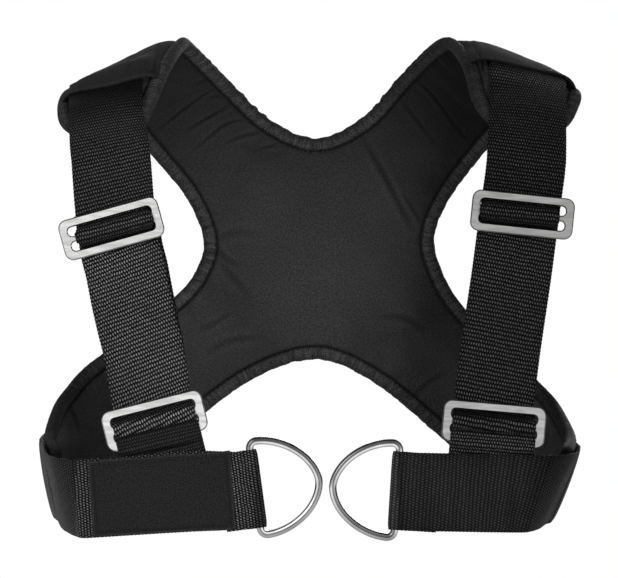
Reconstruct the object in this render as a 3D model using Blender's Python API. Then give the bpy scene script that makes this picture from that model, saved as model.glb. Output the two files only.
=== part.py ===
import math

import bpy
import numpy as np
from mathutils import Vector
from mathutils.geometry import tessellate_polygon

# Driving dimensions in millimetres. X runs to the viewer's right, the front faces -Y, Z is up.
# The harness stands as it hangs on a wearer. The origin lies between the crests of the pads.

MM = 0.001

# The harness's own size as worn. Every place in the tables below moves with these three, while
# the webbing and its metal parts keep the sizes that follow.

CHEST_WIDTH = 350.0
CHEST_DEPTH = 172.0
BACK_HEIGHT = 322.0

GROW_X = CHEST_WIDTH / 350.0
GROW_Y = CHEST_DEPTH / 172.0
GROW_Z = BACK_HEIGHT / 322.0


def at(x, z, tilt):
    """A place on the front of the harness and the tilt of what sits there."""
    return x * GROW_X, z * GROW_Z, tilt


def spot(x, y, z):
    return x * GROW_X, y * GROW_Y, z * GROW_Z


WEB_WIDTH = 50.0
WEB_THICK = 1.8
GAP = 0.3

FABRIC = 0.8
FOAM_EDGE = 3.0
FOAM_FULL = 8.0
EDGE_BAND = 9.0
PLUMP_REACH = 28.0

TAPE_THICK = 0.8
TAPE_ARM = 7.6
TAPE_GAP = 0.75

SLIDE_LENGTH = 64.5
SLIDE_HEIGHT = 26.0
SLIDE_THICK = 3.0
SLIDE_RIM = 5.4
SLIDE_MIDDLE = 3.6
SLIDE_OUTER_RADIUS = 5.5
SLIDE_INNER_RADIUS = 2.4
SLIDE_CHAMFER = 0.7
BAR_GAP = 0.45

RING_WIRE = 4.8
RING_HALF_HEIGHT = 29.5
RING_DEPTH = 40.2
RING_CORNER = 4.4
RING_BOW_POWER = 1.8
RINGS_APART = 3.5
RINGS_MEET_X = 5.95 * GROW_X
RING_BAR_OUT = RING_DEPTH + (RING_WIRE + RINGS_APART) / 2

STRAP_TOP_Z = -50.0 * GROW_Z
STRAP_TOP_Y = -67.0 * GROW_Y
STRAP_TURN_Z = -62.0 * GROW_Z
STRAP_TURN = 9.0
STRAP_TURN_REACH = 18.0
STRAP_PITCH = 0.0516

BELT_FRONT_Y = -81.1 * GROW_Y
BELT_FOLD = RING_WIRE / 2 + GAP + WEB_THICK / 2
RING_AXIS_Y = BELT_FRONT_Y + BELT_FOLD
BELT_AT_RING = 49.0
TAB_REACH = 34.0

PATCH_LENGTH = 88.9
PATCH_HEIGHT = 48.0
PATCH_THICK = 1.2
PATCH_CENTRE = (-96.5 * GROW_X, -264.8 * GROW_Z)
PATCH_TILT = 4.2

# Stations of the padded panel, from a pad's front end over the shoulder and across the back
# to the end of the side lobe: the armhole edge, the inner edge and how far the middle bulges.

LEFT_STATIONS = [
    (spot(-144.5, -50, -42.4), spot(-119.0, -53, -40.6), 0.5),
    (spot(-160.8, -35, -33.0), spot(-107.9, -47, -29.6), 2.0),
    (spot(-164.2, -22, -23.5), spot(-102.0, -40, -16.0), 3.0),
    (spot(-163.6, -10, -15.6), spot(-93.5, -24, 7.0), 2.5),
    (spot(-160.4, 3, -11.0), spot(-84.8, 8, 23.0), 1.5),
    (spot(-152.5, 16, -11.5), spot(-80.5, 22, 22.0), 3.0),
    (spot(-125.5, 46, -27.6), spot(-57.4, 60, -0.2), 3.5),
    (spot(-103.1, 64, -52.4), spot(-31.0, 76, -24.6), 2.8),
    (spot(-83.9, 74, -76.6), spot(0.0, 80, -37.2), 1.5),
    (spot(-73.2, 78, -105.4), spot(0.0, 84, -100.0), 1.5),
    (spot(-81.0, 78, -128.5), spot(0.0, 83, -145.0), 1.3),
    (spot(-96.0, 77, -144.6), spot(0.0, 80, -181.6), 0.8),
    (spot(-123.4, 74, -166.9), spot(-47.0, 79, -197.4), 1.2),
    (spot(-152.0, 66, -188.4), spot(-103.0, 71, -240.6), 2.0),
    (spot(-163.0, 56, -201.5), spot(-133.0, 58, -261.0), 2.5),
    (spot(-169.0, 42, -211.5), spot(-149.5, 42, -272.5), 2.4),
    (spot(-172.3, 8, -229.0), spot(-162.0, 8, -282.0), 1.6),
    (spot(-166.5, -28, -238.0), spot(-157.5, -28, -284.0), 0.8),
]

RIGHT_STATIONS = [
    (spot(146.0, -50, -39.5), spot(120.0, -53, -38.5), 0.5),
    (spot(159.8, -37, -31.2), spot(107.2, -49, -28.0), 2.0),
    (spot(166.4, -22, -20.2), spot(99.5, -42, -15.5), 3.0),
    (spot(169.0, -10, -13.6), spot(94.3, -27, 7.0), 3.2),
    (spot(167.0, 3, -10.5), spot(85.0, 6, 23.0), 2.8),
    (spot(157.0, 16, -11.5), spot(76.0, 22, 22.0), 3.5),
    (spot(127.0, 46, -27.6), spot(55.6, 58, 3.0), 3.5),
    (spot(101.8, 66, -55.6), spot(32.2, 75.5, -22.6), 2.8),
    (spot(84.8, 75, -80.3), spot(0.0, 80, -37.2), 1.5),
    (spot(77.1, 78, -104.0), spot(0.0, 84, -100.0), 1.5),
    (spot(84.5, 78, -129.0), spot(0.0, 83, -145.0), 1.3),
    (spot(98.2, 77, -150.0), spot(0.0, 80, -181.6), 0.8),
    (spot(122.0, 74, -172.2), spot(39.8, 79, -197.7), 1.2),
    (spot(144.5, 69, -196.0), spot(86.6, 71, -236.2), 2.0),
    (spot(154.5, 60, -206.5), spot(116.5, 62, -261.0), 2.5),
    (spot(159.5, 48, -214.8), spot(133.0, 46, -272.5), 2.4),
    (spot(165.0, 12, -230.0), spot(145.0, 8, -282.0), 1.6),
    (spot(160.5, -27, -238.5), spot(142.0, -28, -284.0), 0.8),
]

MIDDLE_STATIONS = [n for n, station in enumerate(LEFT_STATIONS) if station[1][0] == 0.0]
NECK_STATION = MIDDLE_STATIONS[0]
WAIST_STATION = MIDDLE_STATIONS[-1]
LAST_STATION = len(LEFT_STATIONS) - 1
GRID_COLUMNS = 7


def front(x, z):
    """A place on the flat front of the belt."""
    return x * GROW_X, BELT_FRONT_Y, z * GROW_Z


# Each side's webbing: the slides' centres and tilts, the strap's middle line below and above
# the adjuster, and the line of the belt from the side of the body to the ring.

LEFT = {
    "name": "left",
    "sign": -1,
    "stations": LEFT_STATIONS,
    "upper": at(-128.5, -98.2, 15.5),
    "lower": at(-101.3, -218.6, 14.0),
    "strap": [at(-103.8, -202.0, 12.0), at(-108.2, -176.7, 11.0), at(-111.9, -161.7, 11.0),
              at(-116.3, -142.9, 11.0), at(-120.0, -124.1, 11.0), at(-123.2, -111.6, 11.0),
              at(-126.2, -90.2, 7.0), at(-128.1, -67.5, 4.0), at(-129.0, -56.0, 3.0)],
    "strap_edges": (-155.2 * GROW_X, -107.6 * GROW_X),
    "strap_exit": (*spot(-130.6, -62.0, -43.0), 3.0),
    "belt_top": [spot(-172.0, -40, -239.5), spot(-166.5, -60, -241.5), spot(-156.5, -75, -242.6),
                 front(-146.0, -242.5), front(-120.0, -241.0)],
    "belt_bottom": [spot(-161.5, -40, -287.5), spot(-156.5, -60, -289.5), spot(-149.5, -75, -291.2),
                    front(-143.0, -291.6), front(-117.0, -290.0)],
    "ring": (RINGS_MEET_X - RING_BAR_OUT, -260.9 * GROW_Z, -7.7),
    "return_share": 0.73415,
}

RIGHT = {
    "name": "right",
    "sign": 1,
    "stations": RIGHT_STATIONS,
    "upper": at(129.1, -89.4, -6.0),
    "lower": at(111.0, -220.5, -5.0),
    "strap": [at(111.6, -203.0, -6.0), at(115.2, -175.0, -7.0), at(117.4, -160.0, -7.0),
              at(120.0, -142.9, -7.0), at(122.8, -124.0, -7.0), at(125.2, -106.0, -6.0),
              at(129.0, -78.0, -4.0), at(131.0, -64.0, -3.0), at(132.0, -54.0, -3.0)],
    "strap_edges": (156.8 * GROW_X, 107.8 * GROW_X),
    "strap_exit": (*spot(132.6, -61.5, -41.5), -3.0),
    "belt_top": [spot(166.5, -40, -239.0), spot(161.0, -60, -239.8), spot(151.5, -75, -240.1),
                 front(141.0, -239.8), front(110.0, -239.2)],
    "belt_bottom": [spot(145.0, -40, -285.5), spot(140.5, -60, -286.8), spot(134.0, -75, -287.8),
                    front(127.0, -288.2), front(105.0, -288.0)],
    "ring": (RINGS_MEET_X + RING_BAR_OUT, -262.1 * GROW_Z, 3.8),
    "return_share": 0.79678,
}


# Curves

def vec(point):
    return np.array(point, dtype=float)


def unit(vector):
    return vector / np.linalg.norm(vector)


def on_centre(point):
    return len(point) == 3 and point[0] == 0.0


def mirrored(point):
    return point * vec((-1.0, 1.0, 1.0))


def curve_point(points, place, first, last):
    """A smooth curve through the control points. Where it ends on the centre line it runs
    level there, so the two halves meet without a corner."""
    index = min(int(math.floor(place)), last - 1)
    index = max(index, first)
    part = place - index
    before = points[max(index - 1, first)]
    start = points[index]
    end = points[index + 1]
    after = points[min(index + 2, last)]
    if index == first:
        before = mirrored(end) if on_centre(start) and not on_centre(end) else 2 * start - end
    if index + 1 == last:
        after = mirrored(start) if on_centre(end) and not on_centre(start) else 2 * end - start
    return 0.5 * (2 * start + (end - before) * part
                  + (2 * before - 5 * start + 4 * end - after) * part ** 2
                  + (3 * start - before - 3 * end + after) * part ** 3)


def smooth_line(points, pieces):
    """The same curve sampled evenly, a given number of pieces to each span."""
    line = [vec(point) for point in points]
    last = len(line) - 1
    return [curve_point(line, step / pieces, 0, last) for step in range(last * pieces + 1)]


def section_of(place):
    if place < NECK_STATION:
        return 0, NECK_STATION
    if place < WAIST_STATION:
        return NECK_STATION, WAIST_STATION
    return WAIST_STATION, LAST_STATION


def edge_points(side, place):
    """The armhole edge and the inner edge of the panel at a place along it."""
    outer = [vec(station[0]) for station in side["stations"]]
    inner = [vec(station[1]) for station in side["stations"]]
    first, last = section_of(place)
    return curve_point(outer, place, 0, LAST_STATION), curve_point(inner, place, first, last)


def bulge_at(side, place):
    rises = [vec((station[2],)) for station in side["stations"]]
    return float(curve_point(rises, place, 0, LAST_STATION)[0])


def flat_point(side, place, across):
    outer, inner = edge_points(side, place)
    return outer + (inner - outer) * across


def face_normal(side, place, across):
    """The direction away from the wearer, square to the panel."""
    step = 0.05
    low = max(place - step, 0)
    high = min(place + step, LAST_STATION)
    along = flat_point(side, high, across) - flat_point(side, low, across)
    outer, inner = edge_points(side, place)
    return unit(np.cross(along, inner - outer)) * side["sign"]


def panel_point(side, place, across, lift=0.0):
    """A point of the panel's middle surface, or lifted off it away from the wearer."""
    rise = bulge_at(side, place) * 4 * across * (1 - across)
    base = flat_point(side, place, across)
    return base + face_normal(side, place, across) * (rise + lift)


# The panel's grid

def edge_share(side, place, at_inner):
    """How much of the width a band of EDGE_BAND takes, measured square to the edge."""
    step = 0.02
    low = max(place - step, 0)
    high = min(place + step, LAST_STATION)
    if at_inner:
        first, last = section_of(place)
        low = max(place - step, first)
        high = min(place + step, last - 0.0001)
    pick = 1 if at_inner else 0
    along = unit(edge_points(side, high)[pick] - edge_points(side, low)[pick])
    outer, inner = edge_points(side, place)
    width = np.linalg.norm(inner - outer)
    slant = np.linalg.norm(np.cross(along, (inner - outer) / width))
    return min(EDGE_BAND / (width * max(slant, 0.3)), 0.34)


def cross_places(side, place):
    near = edge_share(side, place, False)
    if NECK_STATION <= place <= WAIST_STATION:
        share = (place - NECK_STATION) / (WAIST_STATION - NECK_STATION)
        neck = edge_share(side, NECK_STATION - 0.01, True)
        waist = edge_share(side, WAIST_STATION + 0.01, True)
        far = neck + (waist - neck) * share
    else:
        far = edge_share(side, place, True)
    span = 1 - near - far
    return [0.0, near, near + span / 4, near + span / 2, near + 3 * span / 4, 1 - far, 1.0]


def long_places():
    neck = [step / 2 for step in range(2 * NECK_STATION)]
    middle = [8.0, 8.15, 8.5, 9.0, 9.5, 10.0, 10.5, 10.75]
    waist = [WAIST_STATION + step / 2 for step in range(2 * (LAST_STATION - WAIST_STATION))]
    return neck + middle + waist + [LAST_STATION - 0.25, float(LAST_STATION)]


def panel_grid():
    """Middle surface of the panel: points, faces wound to face out, and the index of each."""
    points = []
    faces = []
    index = {}
    places = long_places()
    for side in (LEFT, RIGHT):
        for row, place in enumerate(places):
            shares = cross_places(side, place)
            for column, across in enumerate(shares):
                key = (side["name"], row, column)
                on_centre = across == 1.0 and NECK_STATION <= place <= WAIST_STATION
                if on_centre and side is RIGHT:
                    index[key] = index[("left", row, column)]
                    continue
                index[key] = len(points)
                points.append(panel_point(side, place, across))
        for row in range(len(places) - 1):
            for column in range(GRID_COLUMNS - 1):
                a = index[(side["name"], row, column)]
                b = index[(side["name"], row + 1, column)]
                c = index[(side["name"], row + 1, column + 1)]
                d = index[(side["name"], row, column + 1)]
                quad = (a, b, c, d) if side is RIGHT else (a, d, c, b)
                faces += two_triangles(points, quad)
    return points, faces, index


def two_triangles(points, quad):
    """Split along the shorter diagonal, so that layers with the same grid never cross."""
    a, b, c, d = quad
    if np.linalg.norm(points[a] - points[c]) <= np.linalg.norm(points[b] - points[d]):
        return [(a, b, c), (a, c, d)]
    return [(a, b, d), (b, c, d)]


def point_normals(points, faces):
    normals = [np.zeros(3) for _ in points]
    for face in faces:
        corners = [points[i] for i in face]
        normal = np.cross(corners[1] - corners[0], corners[2] - corners[0])
        for i in face:
            normals[i] = normals[i] + normal
    return [unit(normal) for normal in normals]


def border_edges(faces):
    edges = set()
    for face in faces:
        for i, start in enumerate(face):
            edges.add((start, face[(i + 1) % len(face)]))
    return [edge for edge in sorted(edges) if (edge[1], edge[0]) not in edges]


def edge_distance(points, border, point):
    nearest = 1.0e9
    for start, end in border:
        line = points[end] - points[start]
        share = np.dot(point - points[start], line) / np.dot(line, line)
        share = min(max(share, 0.0), 1.0)
        nearest = min(nearest, np.linalg.norm(point - points[start] - line * share))
    return nearest


def foam_thickness(distance):
    share = (distance - EDGE_BAND - 0.6) / (PLUMP_REACH - EDGE_BAND)
    share = min(max(share, 0.0), 1.0)
    return FOAM_EDGE + (FOAM_FULL - FOAM_EDGE) * share * share * (3 - 2 * share)


# Building solids

def new_material(name, colour, metallic, roughness):
    material = bpy.data.materials.new(name)
    material.use_nodes = True
    shader = material.node_tree.nodes["Principled BSDF"]
    shader.inputs["Base Color"].default_value = (*colour, 1.0)
    shader.inputs["Metallic"].default_value = metallic
    shader.inputs["Roughness"].default_value = roughness
    material.diffuse_color = (*colour, 1.0)
    return material


BLACK_CLOTH = ((0.022, 0.022, 0.024), 0.0, 0.85)
BLACK_FOAM = ((0.045, 0.045, 0.048), 0.0, 0.95)
BLACK_TAPE = ((0.03, 0.03, 0.032), 0.0, 0.8)
BLACK_WEBBING = ((0.028, 0.028, 0.03), 0.0, 0.75)
SATIN_METAL = ((0.72, 0.72, 0.71), 1.0, 0.35)
BRIGHT_METAL = ((0.8, 0.8, 0.8), 1.0, 0.12)
PATCH_FINISH = ((0.018, 0.018, 0.02), 0.0, 0.6)


def add_object(name, points, faces, look, origin=(0.0, 0.0, 0.0)):
    """A mesh object whose own origin is where its joint turns or slides."""
    mesh = bpy.data.meshes.new(name)
    centre = vec(origin)
    mesh.from_pydata([tuple((vec(p) - centre) * MM) for p in points], [], faces)
    mesh.validate()
    mesh.update()
    body = bpy.data.objects.new(name, mesh)
    body.location = tuple(centre * MM)
    body.data.materials.append(new_material(name + "_material", *look))
    bpy.context.scene.collection.objects.link(body)
    return body


def thick_sheet(low, high, faces):
    """Close the space between two copies of a sheet into one body."""
    count = len(low)
    points = list(high) + list(low)
    shell = [tuple(face) for face in faces]
    shell += [tuple(i + count for i in reversed(face)) for face in faces]
    shell += [(b, a, a + count, b + count) for a, b in border_edges(faces)]
    return points, shell


def ribbon(rails, thickness):
    """A webbing strip between its edge lines. Each rail is a line of points."""
    rows = len(rails[0])
    columns = len(rails)
    points = [rails[column][row] for row in range(rows) for column in range(columns)]
    faces = []
    for row in range(rows - 1):
        for column in range(columns - 1):
            a = row * columns + column
            faces += two_triangles(points, (a, a + columns, a + columns + 1, a + 1))
    normals = point_normals(points, faces)
    half = thickness / 2
    low = [p - n * half for p, n in zip(points, normals)]
    high = [p + n * half for p, n in zip(points, normals)]
    return thick_sheet(low, high, faces)


def rounded_rectangle(length, height, radius, steps):
    corners = [(1, 1, 0), (-1, 1, 90), (-1, -1, 180), (1, -1, 270)]
    line = []
    for side_x, side_y, start in corners:
        centre_x = side_x * (length / 2 - radius)
        centre_y = side_y * (height / 2 - radius)
        for step in range(steps + 1):
            angle = math.radians(start + 90 * step / steps)
            line.append((centre_x + radius * math.cos(angle), centre_y + radius * math.sin(angle)))
    return line


def plate_with_holes(make_loops, thickness, chamfer):
    """A plate with chamfered edges: the loops for a given inset, the outline first."""
    levels = [(thickness / 2, chamfer), (thickness / 2 - chamfer, 0.0),
              (chamfer - thickness / 2, 0.0), (-thickness / 2, chamfer)]
    points = []
    for height, inset in levels:
        for loop in make_loops(inset):
            points += [(x, y, height) for x, y in loop]
    loops = make_loops(0.0)
    sizes = [len(loop) for loop in loops]
    count = sum(sizes)
    cap = tessellate_polygon([[Vector((x, y, 0)) for x, y in loop] for loop in make_loops(chamfer)])
    faces = []
    for triangle in cap:
        a, b, c = [points[i] for i in triangle]
        turn = (b[0] - a[0]) * (c[1] - a[1]) - (b[1] - a[1]) * (c[0] - a[0])
        wound = tuple(triangle) if turn > 0 else tuple(reversed(triangle))
        faces.append(wound)
        faces.append(tuple(i + 3 * count for i in reversed(wound)))
    for level in range(3):
        base = level * count
        start = 0
        for number, size in enumerate(sizes):
            for i in range(size):
                a = base + start + i
                b = base + start + (i + 1) % size
                wall = (b, a, a + count, b + count)
                faces.append(wall if number == 0 else tuple(reversed(wall)))
            start += size
    return points, faces


# Places on the straps

def strap_plane_y(z):
    return STRAP_TOP_Y + STRAP_PITCH * (z - STRAP_TOP_Z)


def strap_axes(tilt):
    """Along the bars, up the strap and out to the front, for hardware tilted on the strap."""
    angle = math.radians(tilt)
    up = unit(vec((0.0, STRAP_PITCH, 1.0)))
    right = vec((1.0, 0.0, 0.0))
    along = right * math.cos(angle) + up * math.sin(angle)
    rise = up * math.cos(angle) - right * math.sin(angle)
    return along, rise, unit(np.cross(along, rise))


SLIDE_WEB_HALF = 24.3
FRONT_PLY = -(SLIDE_THICK / 2 + 0.4 + WEB_THICK / 2)
BACK_PLY = FRONT_PLY - WEB_THICK - GAP
KEEPER_THICK = 1.5
KEEPER_HALF = SLIDE_THICK / 2 + BAR_GAP + KEEPER_THICK


def lower_centre(side):
    x, z, _ = side["lower"]
    return vec((x, strap_plane_y(z) + WEB_THICK / 2 + FRONT_PLY, z))


def upper_centre(side):
    x, z, _ = side["upper"]
    return vec((x, strap_plane_y(z) - GAP - KEEPER_HALF, z))


def lower_bar(side):
    """The lower slide's bottom bar, on which the slide tilts."""
    along, rise, out = strap_axes(side["lower"][2])
    return lower_centre(side) - rise * (SLIDE_HEIGHT - SLIDE_RIM) / 2


def ring_axes(side):
    """The ring's bar, the way from its bar to its bow, and the middle of the bar."""
    x, z, tilt = side["ring"]
    angle = math.radians(tilt)
    bar = vec((math.sin(angle), 0.0, math.cos(angle)))
    bow = vec((math.cos(angle), 0.0, -math.sin(angle))) * -side["sign"]
    return bar, bow, vec((x, RING_AXIS_Y, z))


# The padded back

def build_back():
    points, faces, index = panel_grid()
    normals = point_normals(points, faces)
    border = border_edges(faces)
    halves = [foam_thickness(edge_distance(points, border, p)) / 2 for p in points]
    foam_low = [p - n * h for p, n, h in zip(points, normals, halves)]
    foam_high = [p + n * h for p, n, h in zip(points, normals, halves)]
    add_object("back_foam", *thick_sheet(foam_low, foam_high, faces), BLACK_FOAM)
    near = GAP
    far = GAP + FABRIC
    liner_high = [p - n * near for p, n in zip(foam_low, normals)]
    liner_low = [p - n * far for p, n in zip(foam_low, normals)]
    add_object("back_liner", *thick_sheet(liner_low, liner_high, faces), BLACK_CLOTH)
    shell_low = [p + n * near for p, n in zip(foam_high, normals)]
    shell_high = [p + n * far for p, n in zip(foam_high, normals)]
    add_object("back_shell", *thick_sheet(shell_low, shell_high, faces), BLACK_CLOTH)
    build_bindings(points, normals, index)


def inner_neighbour(key, rows):
    """The grid point one edge band in from a point on the panel's edge."""
    side, row, column = key
    places = long_places()
    last = GRID_COLUMNS - 1
    if column == last and places[row] == NECK_STATION:
        return side, row + 1, last
    if column == last and places[row] == WAIST_STATION:
        return side, row - 1, last
    row = min(max(row, 1), rows - 2)
    column = min(max(column, 1), last - 1)
    return side, row, column


def binding_section(point, inner, normal, inner_normal, along):
    """The folded tape's outline at one place of the edge."""
    inward = np.cross(along, normal)
    inward = unit(inward) * math.copysign(1.0, np.dot(inward, inner - point))
    clear = FOAM_EDGE / 2 + GAP + FABRIC + TAPE_GAP
    outer = clear + TAPE_THICK
    share = TAPE_ARM / max(EDGE_BAND, abs(np.dot(inner - point, inward)))
    arm = point + (inner - point) * share
    facing = unit(normal + (inner_normal - normal) * share)
    web = point - inward * GAP
    back = point - inward * (GAP + TAPE_THICK)
    return [arm + facing * outer, point + normal * outer, back + normal * clear * 0.55,
            back - normal * clear * 0.55, point - normal * outer, arm - facing * outer,
            arm - facing * clear, web - normal * clear, web + normal * clear,
            arm + facing * clear]


def build_binding(name, keys, points, normals, index, rows):
    """Tape folded over a run of the panel's edge, given as grid keys in order."""
    line = [points[index[key]] for key in keys]
    inner = [index[inner_neighbour(key, rows)] for key in keys]
    shift = [unit(line[1] - line[0]) * GAP, unit(line[-2] - line[-1]) * GAP]
    rings = []
    for number, key in enumerate(keys):
        before = line[max(number - 1, 0)]
        after = line[min(number + 1, len(line) - 1)]
        place = index[key]
        ring = binding_section(points[place], points[inner[number]], normals[place],
                               normals[inner[number]], unit(after - before))
        if number == 0:
            ring = [point + shift[0] for point in ring]
        if number == len(keys) - 1:
            ring = [point + shift[1] for point in ring]
        rings.append(ring)
    size = len(rings[0])
    body = [point for ring in rings for point in ring]
    faces = []
    for number in range(len(rings) - 1):
        for i in range(size):
            a = number * size + i
            b = number * size + (i + 1) % size
            faces.append((a, b, b + size, a + size))
    last = (len(rings) - 1) * size
    cap = [(0, 1, 8, 9), (1, 2, 8), (2, 3, 7, 8), (3, 4, 7), (4, 5, 6, 7)]
    faces += [tuple(reversed(face)) for face in cap]
    faces += [tuple(i + last for i in face) for face in cap]
    add_object(name, body, faces, BLACK_TAPE)


def build_bindings(points, normals, index):
    places = long_places()
    rows = len(places)
    neck_row = places.index(float(NECK_STATION))
    waist_row = places.index(float(WAIST_STATION))
    half = GRID_COLUMNS // 2
    last = GRID_COLUMNS - 1

    def run(side, row_list, column):
        return [(side, row, column) for row in row_list]

    def end(side, row, columns):
        return [(side, row, column) for column in columns]

    neck = end("left", 0, range(half, last))
    neck += run("left", range(0, neck_row + 1), last)
    neck += run("right", range(neck_row - 1, -1, -1), last)
    neck += end("right", 0, range(last - 1, half - 1, -1))
    waist = end("left", rows - 1, range(half, last))
    waist += run("left", range(rows - 1, waist_row - 1, -1), last)
    waist += run("right", range(waist_row + 1, rows), last)
    waist += end("right", rows - 1, range(last - 1, half - 1, -1))
    build_binding("neck_binding", neck, points, normals, index, rows)
    build_binding("waist_binding", waist, points, normals, index, rows)
    for side in ("left", "right"):
        arm = end(side, 0, range(half, 0, -1))
        arm += run(side, range(0, rows), 0)
        arm += end(side, rows - 1, range(1, half + 1))
        build_binding(side + "_armhole_binding", arm, points, normals, index, rows)


# Webbing

STRAP_LIFT = FOAM_FULL / 2 + GAP * 2 + FABRIC + WEB_THICK / 2 + 1.3
COVER_LIFT = STRAP_LIFT + WEB_THICK / 2 + GAP + 1.0
COVER_REST = FOAM_FULL / 2 + GAP * 2 + FABRIC + 0.9
SEAM_PLACE = 2.62
STRAP_END_PLACE = 3.05


def across_for_x(side, place, x):
    outer, inner = edge_points(side, place)
    return (x - outer[0]) / (inner[0] - outer[0])


def strap_on_pad(side):
    """The strap's three rails where it lies on the pad, from its sewn end to the pad's end."""
    rails = ([], [], [])
    outer_x, inner_x = side["strap_edges"]
    for place in (STRAP_END_PLACE, 2.5, 2.0, 1.5, 1.1):
        for rail, x in zip(rails, (outer_x, (outer_x + inner_x) / 2, inner_x)):
            across = across_for_x(side, place, x)
            rail.append(panel_point(side, place, across, STRAP_LIFT))
    return rails


def strap_down_front(side):
    """The front ply from the pad to the lower slide, as rails of middle-ply points."""
    line = [vec(entry) for entry in side["strap"][::-1]]
    exit_x, exit_y, exit_z, exit_tilt = side["strap_exit"]
    places = [(vec((exit_x, exit_y, exit_z)), exit_tilt)]
    for step in range(2 * (len(line) - 1) + 1):
        x, z, tilt = curve_point(line, step / 2, 0, len(line) - 1)
        places.append((vec((x, strap_plane_y(z) + WEB_THICK / 2, z)), tilt))
    rails = ([], [], [])
    for middle, tilt in places:
        along, rise, out = strap_axes(tilt)
        share = min(max((middle[2] - STRAP_TURN_Z) / STRAP_TURN_REACH, 0.0), 1.0)
        turn = math.radians(STRAP_TURN) * share
        along = along + vec((0.0, math.tan(turn), 0.0)) * side["sign"]
        for rail, share in zip(rails, (side["sign"], 0, -side["sign"])):
            rail.append(middle + along * share * WEB_WIDTH / 2)
    return rails


def strap_at_lower_slide(side):
    """Behind the top bar, over and around the middle bar, and back up behind the front ply."""
    along, rise, out = strap_axes(side["lower"][2])
    centre = lower_centre(side)
    half_bar = SLIDE_MIDDLE / 2
    front = SLIDE_THICK / 2 + 1.2 + WEB_THICK / 2
    below = half_bar + BAR_GAP + WEB_THICK / 2
    path = [(12.5, FRONT_PLY), (9.0, FRONT_PLY), (7.2, FRONT_PLY + 0.2), (5.2, -0.9),
            (3.4, 2.0), (1.6, front), (-0.9, front), (-2.4, front - 1.0), (-below, 1.2),
            (-below, -1.4), (-2.2, -3.0), (-0.2, -4.0), (3.0, BACK_PLY), (9.0, BACK_PLY),
            (12.5, BACK_PLY)]
    rails = ([], [], [])
    for up, forward in path:
        for rail, share in zip(rails, (side["sign"], 0, -side["sign"])):
            across = share * SLIDE_WEB_HALF
            rail.append(centre + along * across + rise * up + out * forward)
    return rails


def strap_back_ply(side):
    """The return ply, up behind the front ply to the adjuster."""
    top = side["upper"][1] + 4.0
    line = [vec(entry) for entry in side["strap"] if entry[1] < top - 6.0]
    rails = ([], [], [])
    for step in range(2 * (len(line) - 1) + 1):
        x, z, tilt = curve_point(line, step / 2, 0, len(line) - 1)
        along, rise, out = strap_axes(tilt)
        middle = vec((x, strap_plane_y(z) + WEB_THICK / 2, z)) - out * (WEB_THICK + GAP)
        for rail, share in zip(rails, (side["sign"], 0, -side["sign"])):
            rail.append(middle + along * share * WEB_WIDTH / 2)
    return rails


def build_strap(side):
    parts = [strap_on_pad(side), strap_down_front(side), strap_at_lower_slide(side),
             strap_back_ply(side)]
    rails = [sum((list(part[i]) for part in parts), []) for i in range(3)]
    add_object(side["name"] + "_shoulder_strap", *ribbon(rails, WEB_THICK), BLACK_WEBBING)


def build_cover(side):
    """The fabric flap that hides the strap's sewn end on top of the pad."""
    places = [SEAM_PLACE, 3.0, 3.5, 4.0, 4.5, 4.8]
    lifts = [COVER_LIFT, COVER_LIFT, COVER_REST + 1.2, COVER_REST, COVER_REST, COVER_REST]
    shares = [0.0, 0.25, 0.5, 0.75, 1.0]
    rails = [[] for _ in shares]
    for place, lift in zip(places, lifts):
        outer, inner = edge_points(side, place)
        margin = (TAPE_ARM + 1.2) / np.linalg.norm(inner - outer)
        for rail, share in zip(rails, shares):
            across = margin + (1 - 2 * margin) * share
            rail.append(panel_point(side, place, across, lift))
    add_object(side["name"] + "_shoulder_cover", *ribbon(rails, 1.0), BLACK_CLOTH)


def slide_loops(inset):
    """The outline and the two windows of a three-bar slide."""
    window_length = SLIDE_LENGTH - 2 * SLIDE_RIM
    window_height = (SLIDE_HEIGHT - 2 * SLIDE_RIM - SLIDE_MIDDLE) / 2
    offset = (SLIDE_MIDDLE + window_height) / 2
    outline = rounded_rectangle(SLIDE_LENGTH - 2 * inset, SLIDE_HEIGHT - 2 * inset,
                                SLIDE_OUTER_RADIUS - inset, 5)
    hole = rounded_rectangle(window_length + 2 * inset, window_height + 2 * inset,
                             SLIDE_INNER_RADIUS + inset, 3)
    upper = [(x, y + offset) for x, y in hole]
    lower = [(x, y - offset) for x, y in hole]
    return [outline, upper, lower]


def build_slide(name, centre, tilt, origin):
    along, rise, out = strap_axes(tilt)
    flat, faces = plate_with_holes(slide_loops, SLIDE_THICK, SLIDE_CHAMFER)
    points = [centre + along * x + rise * y + out * z for x, y, z in flat]
    add_object(name, points, faces, SATIN_METAL, origin)


def build_keeper(side):
    """The strap's sewn end, a flat loop round the adjuster's middle bar."""
    along, rise, out = strap_axes(side["upper"][2])
    centre = upper_centre(side)
    inner = (SLIDE_MIDDLE + 2 * BAR_GAP, SLIDE_THICK + 2 * BAR_GAP, BAR_GAP)
    outer = (inner[0] + 2 * KEEPER_THICK, inner[1] + 2 * KEEPER_THICK, BAR_GAP + KEEPER_THICK)
    loops = [rounded_rectangle(*inner, 2), rounded_rectangle(*outer, 2)]
    count = len(loops[0])
    points = []
    for end in (-1, 1):
        for loop in loops:
            for x, y in loop:
                base = centre + along * end * WEB_WIDTH / 2 * 0.97
                points.append(base + rise * x + out * y)
    faces = []
    for i in range(count):
        j = (i + 1) % count
        faces.append((i, j, j + 2 * count, i + 2 * count))
        faces.append((j + count, i + count, i + 3 * count, j + 3 * count))
        faces.append((i + count, j + count, j, i))
        faces.append((i + 2 * count, j + 2 * count, j + 3 * count, i + 3 * count))
    faces = [tuple(reversed(face)) for face in faces]
    add_object(side["name"] + "_slide_keeper", points, faces, BLACK_WEBBING, upper_centre(side))


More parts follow.
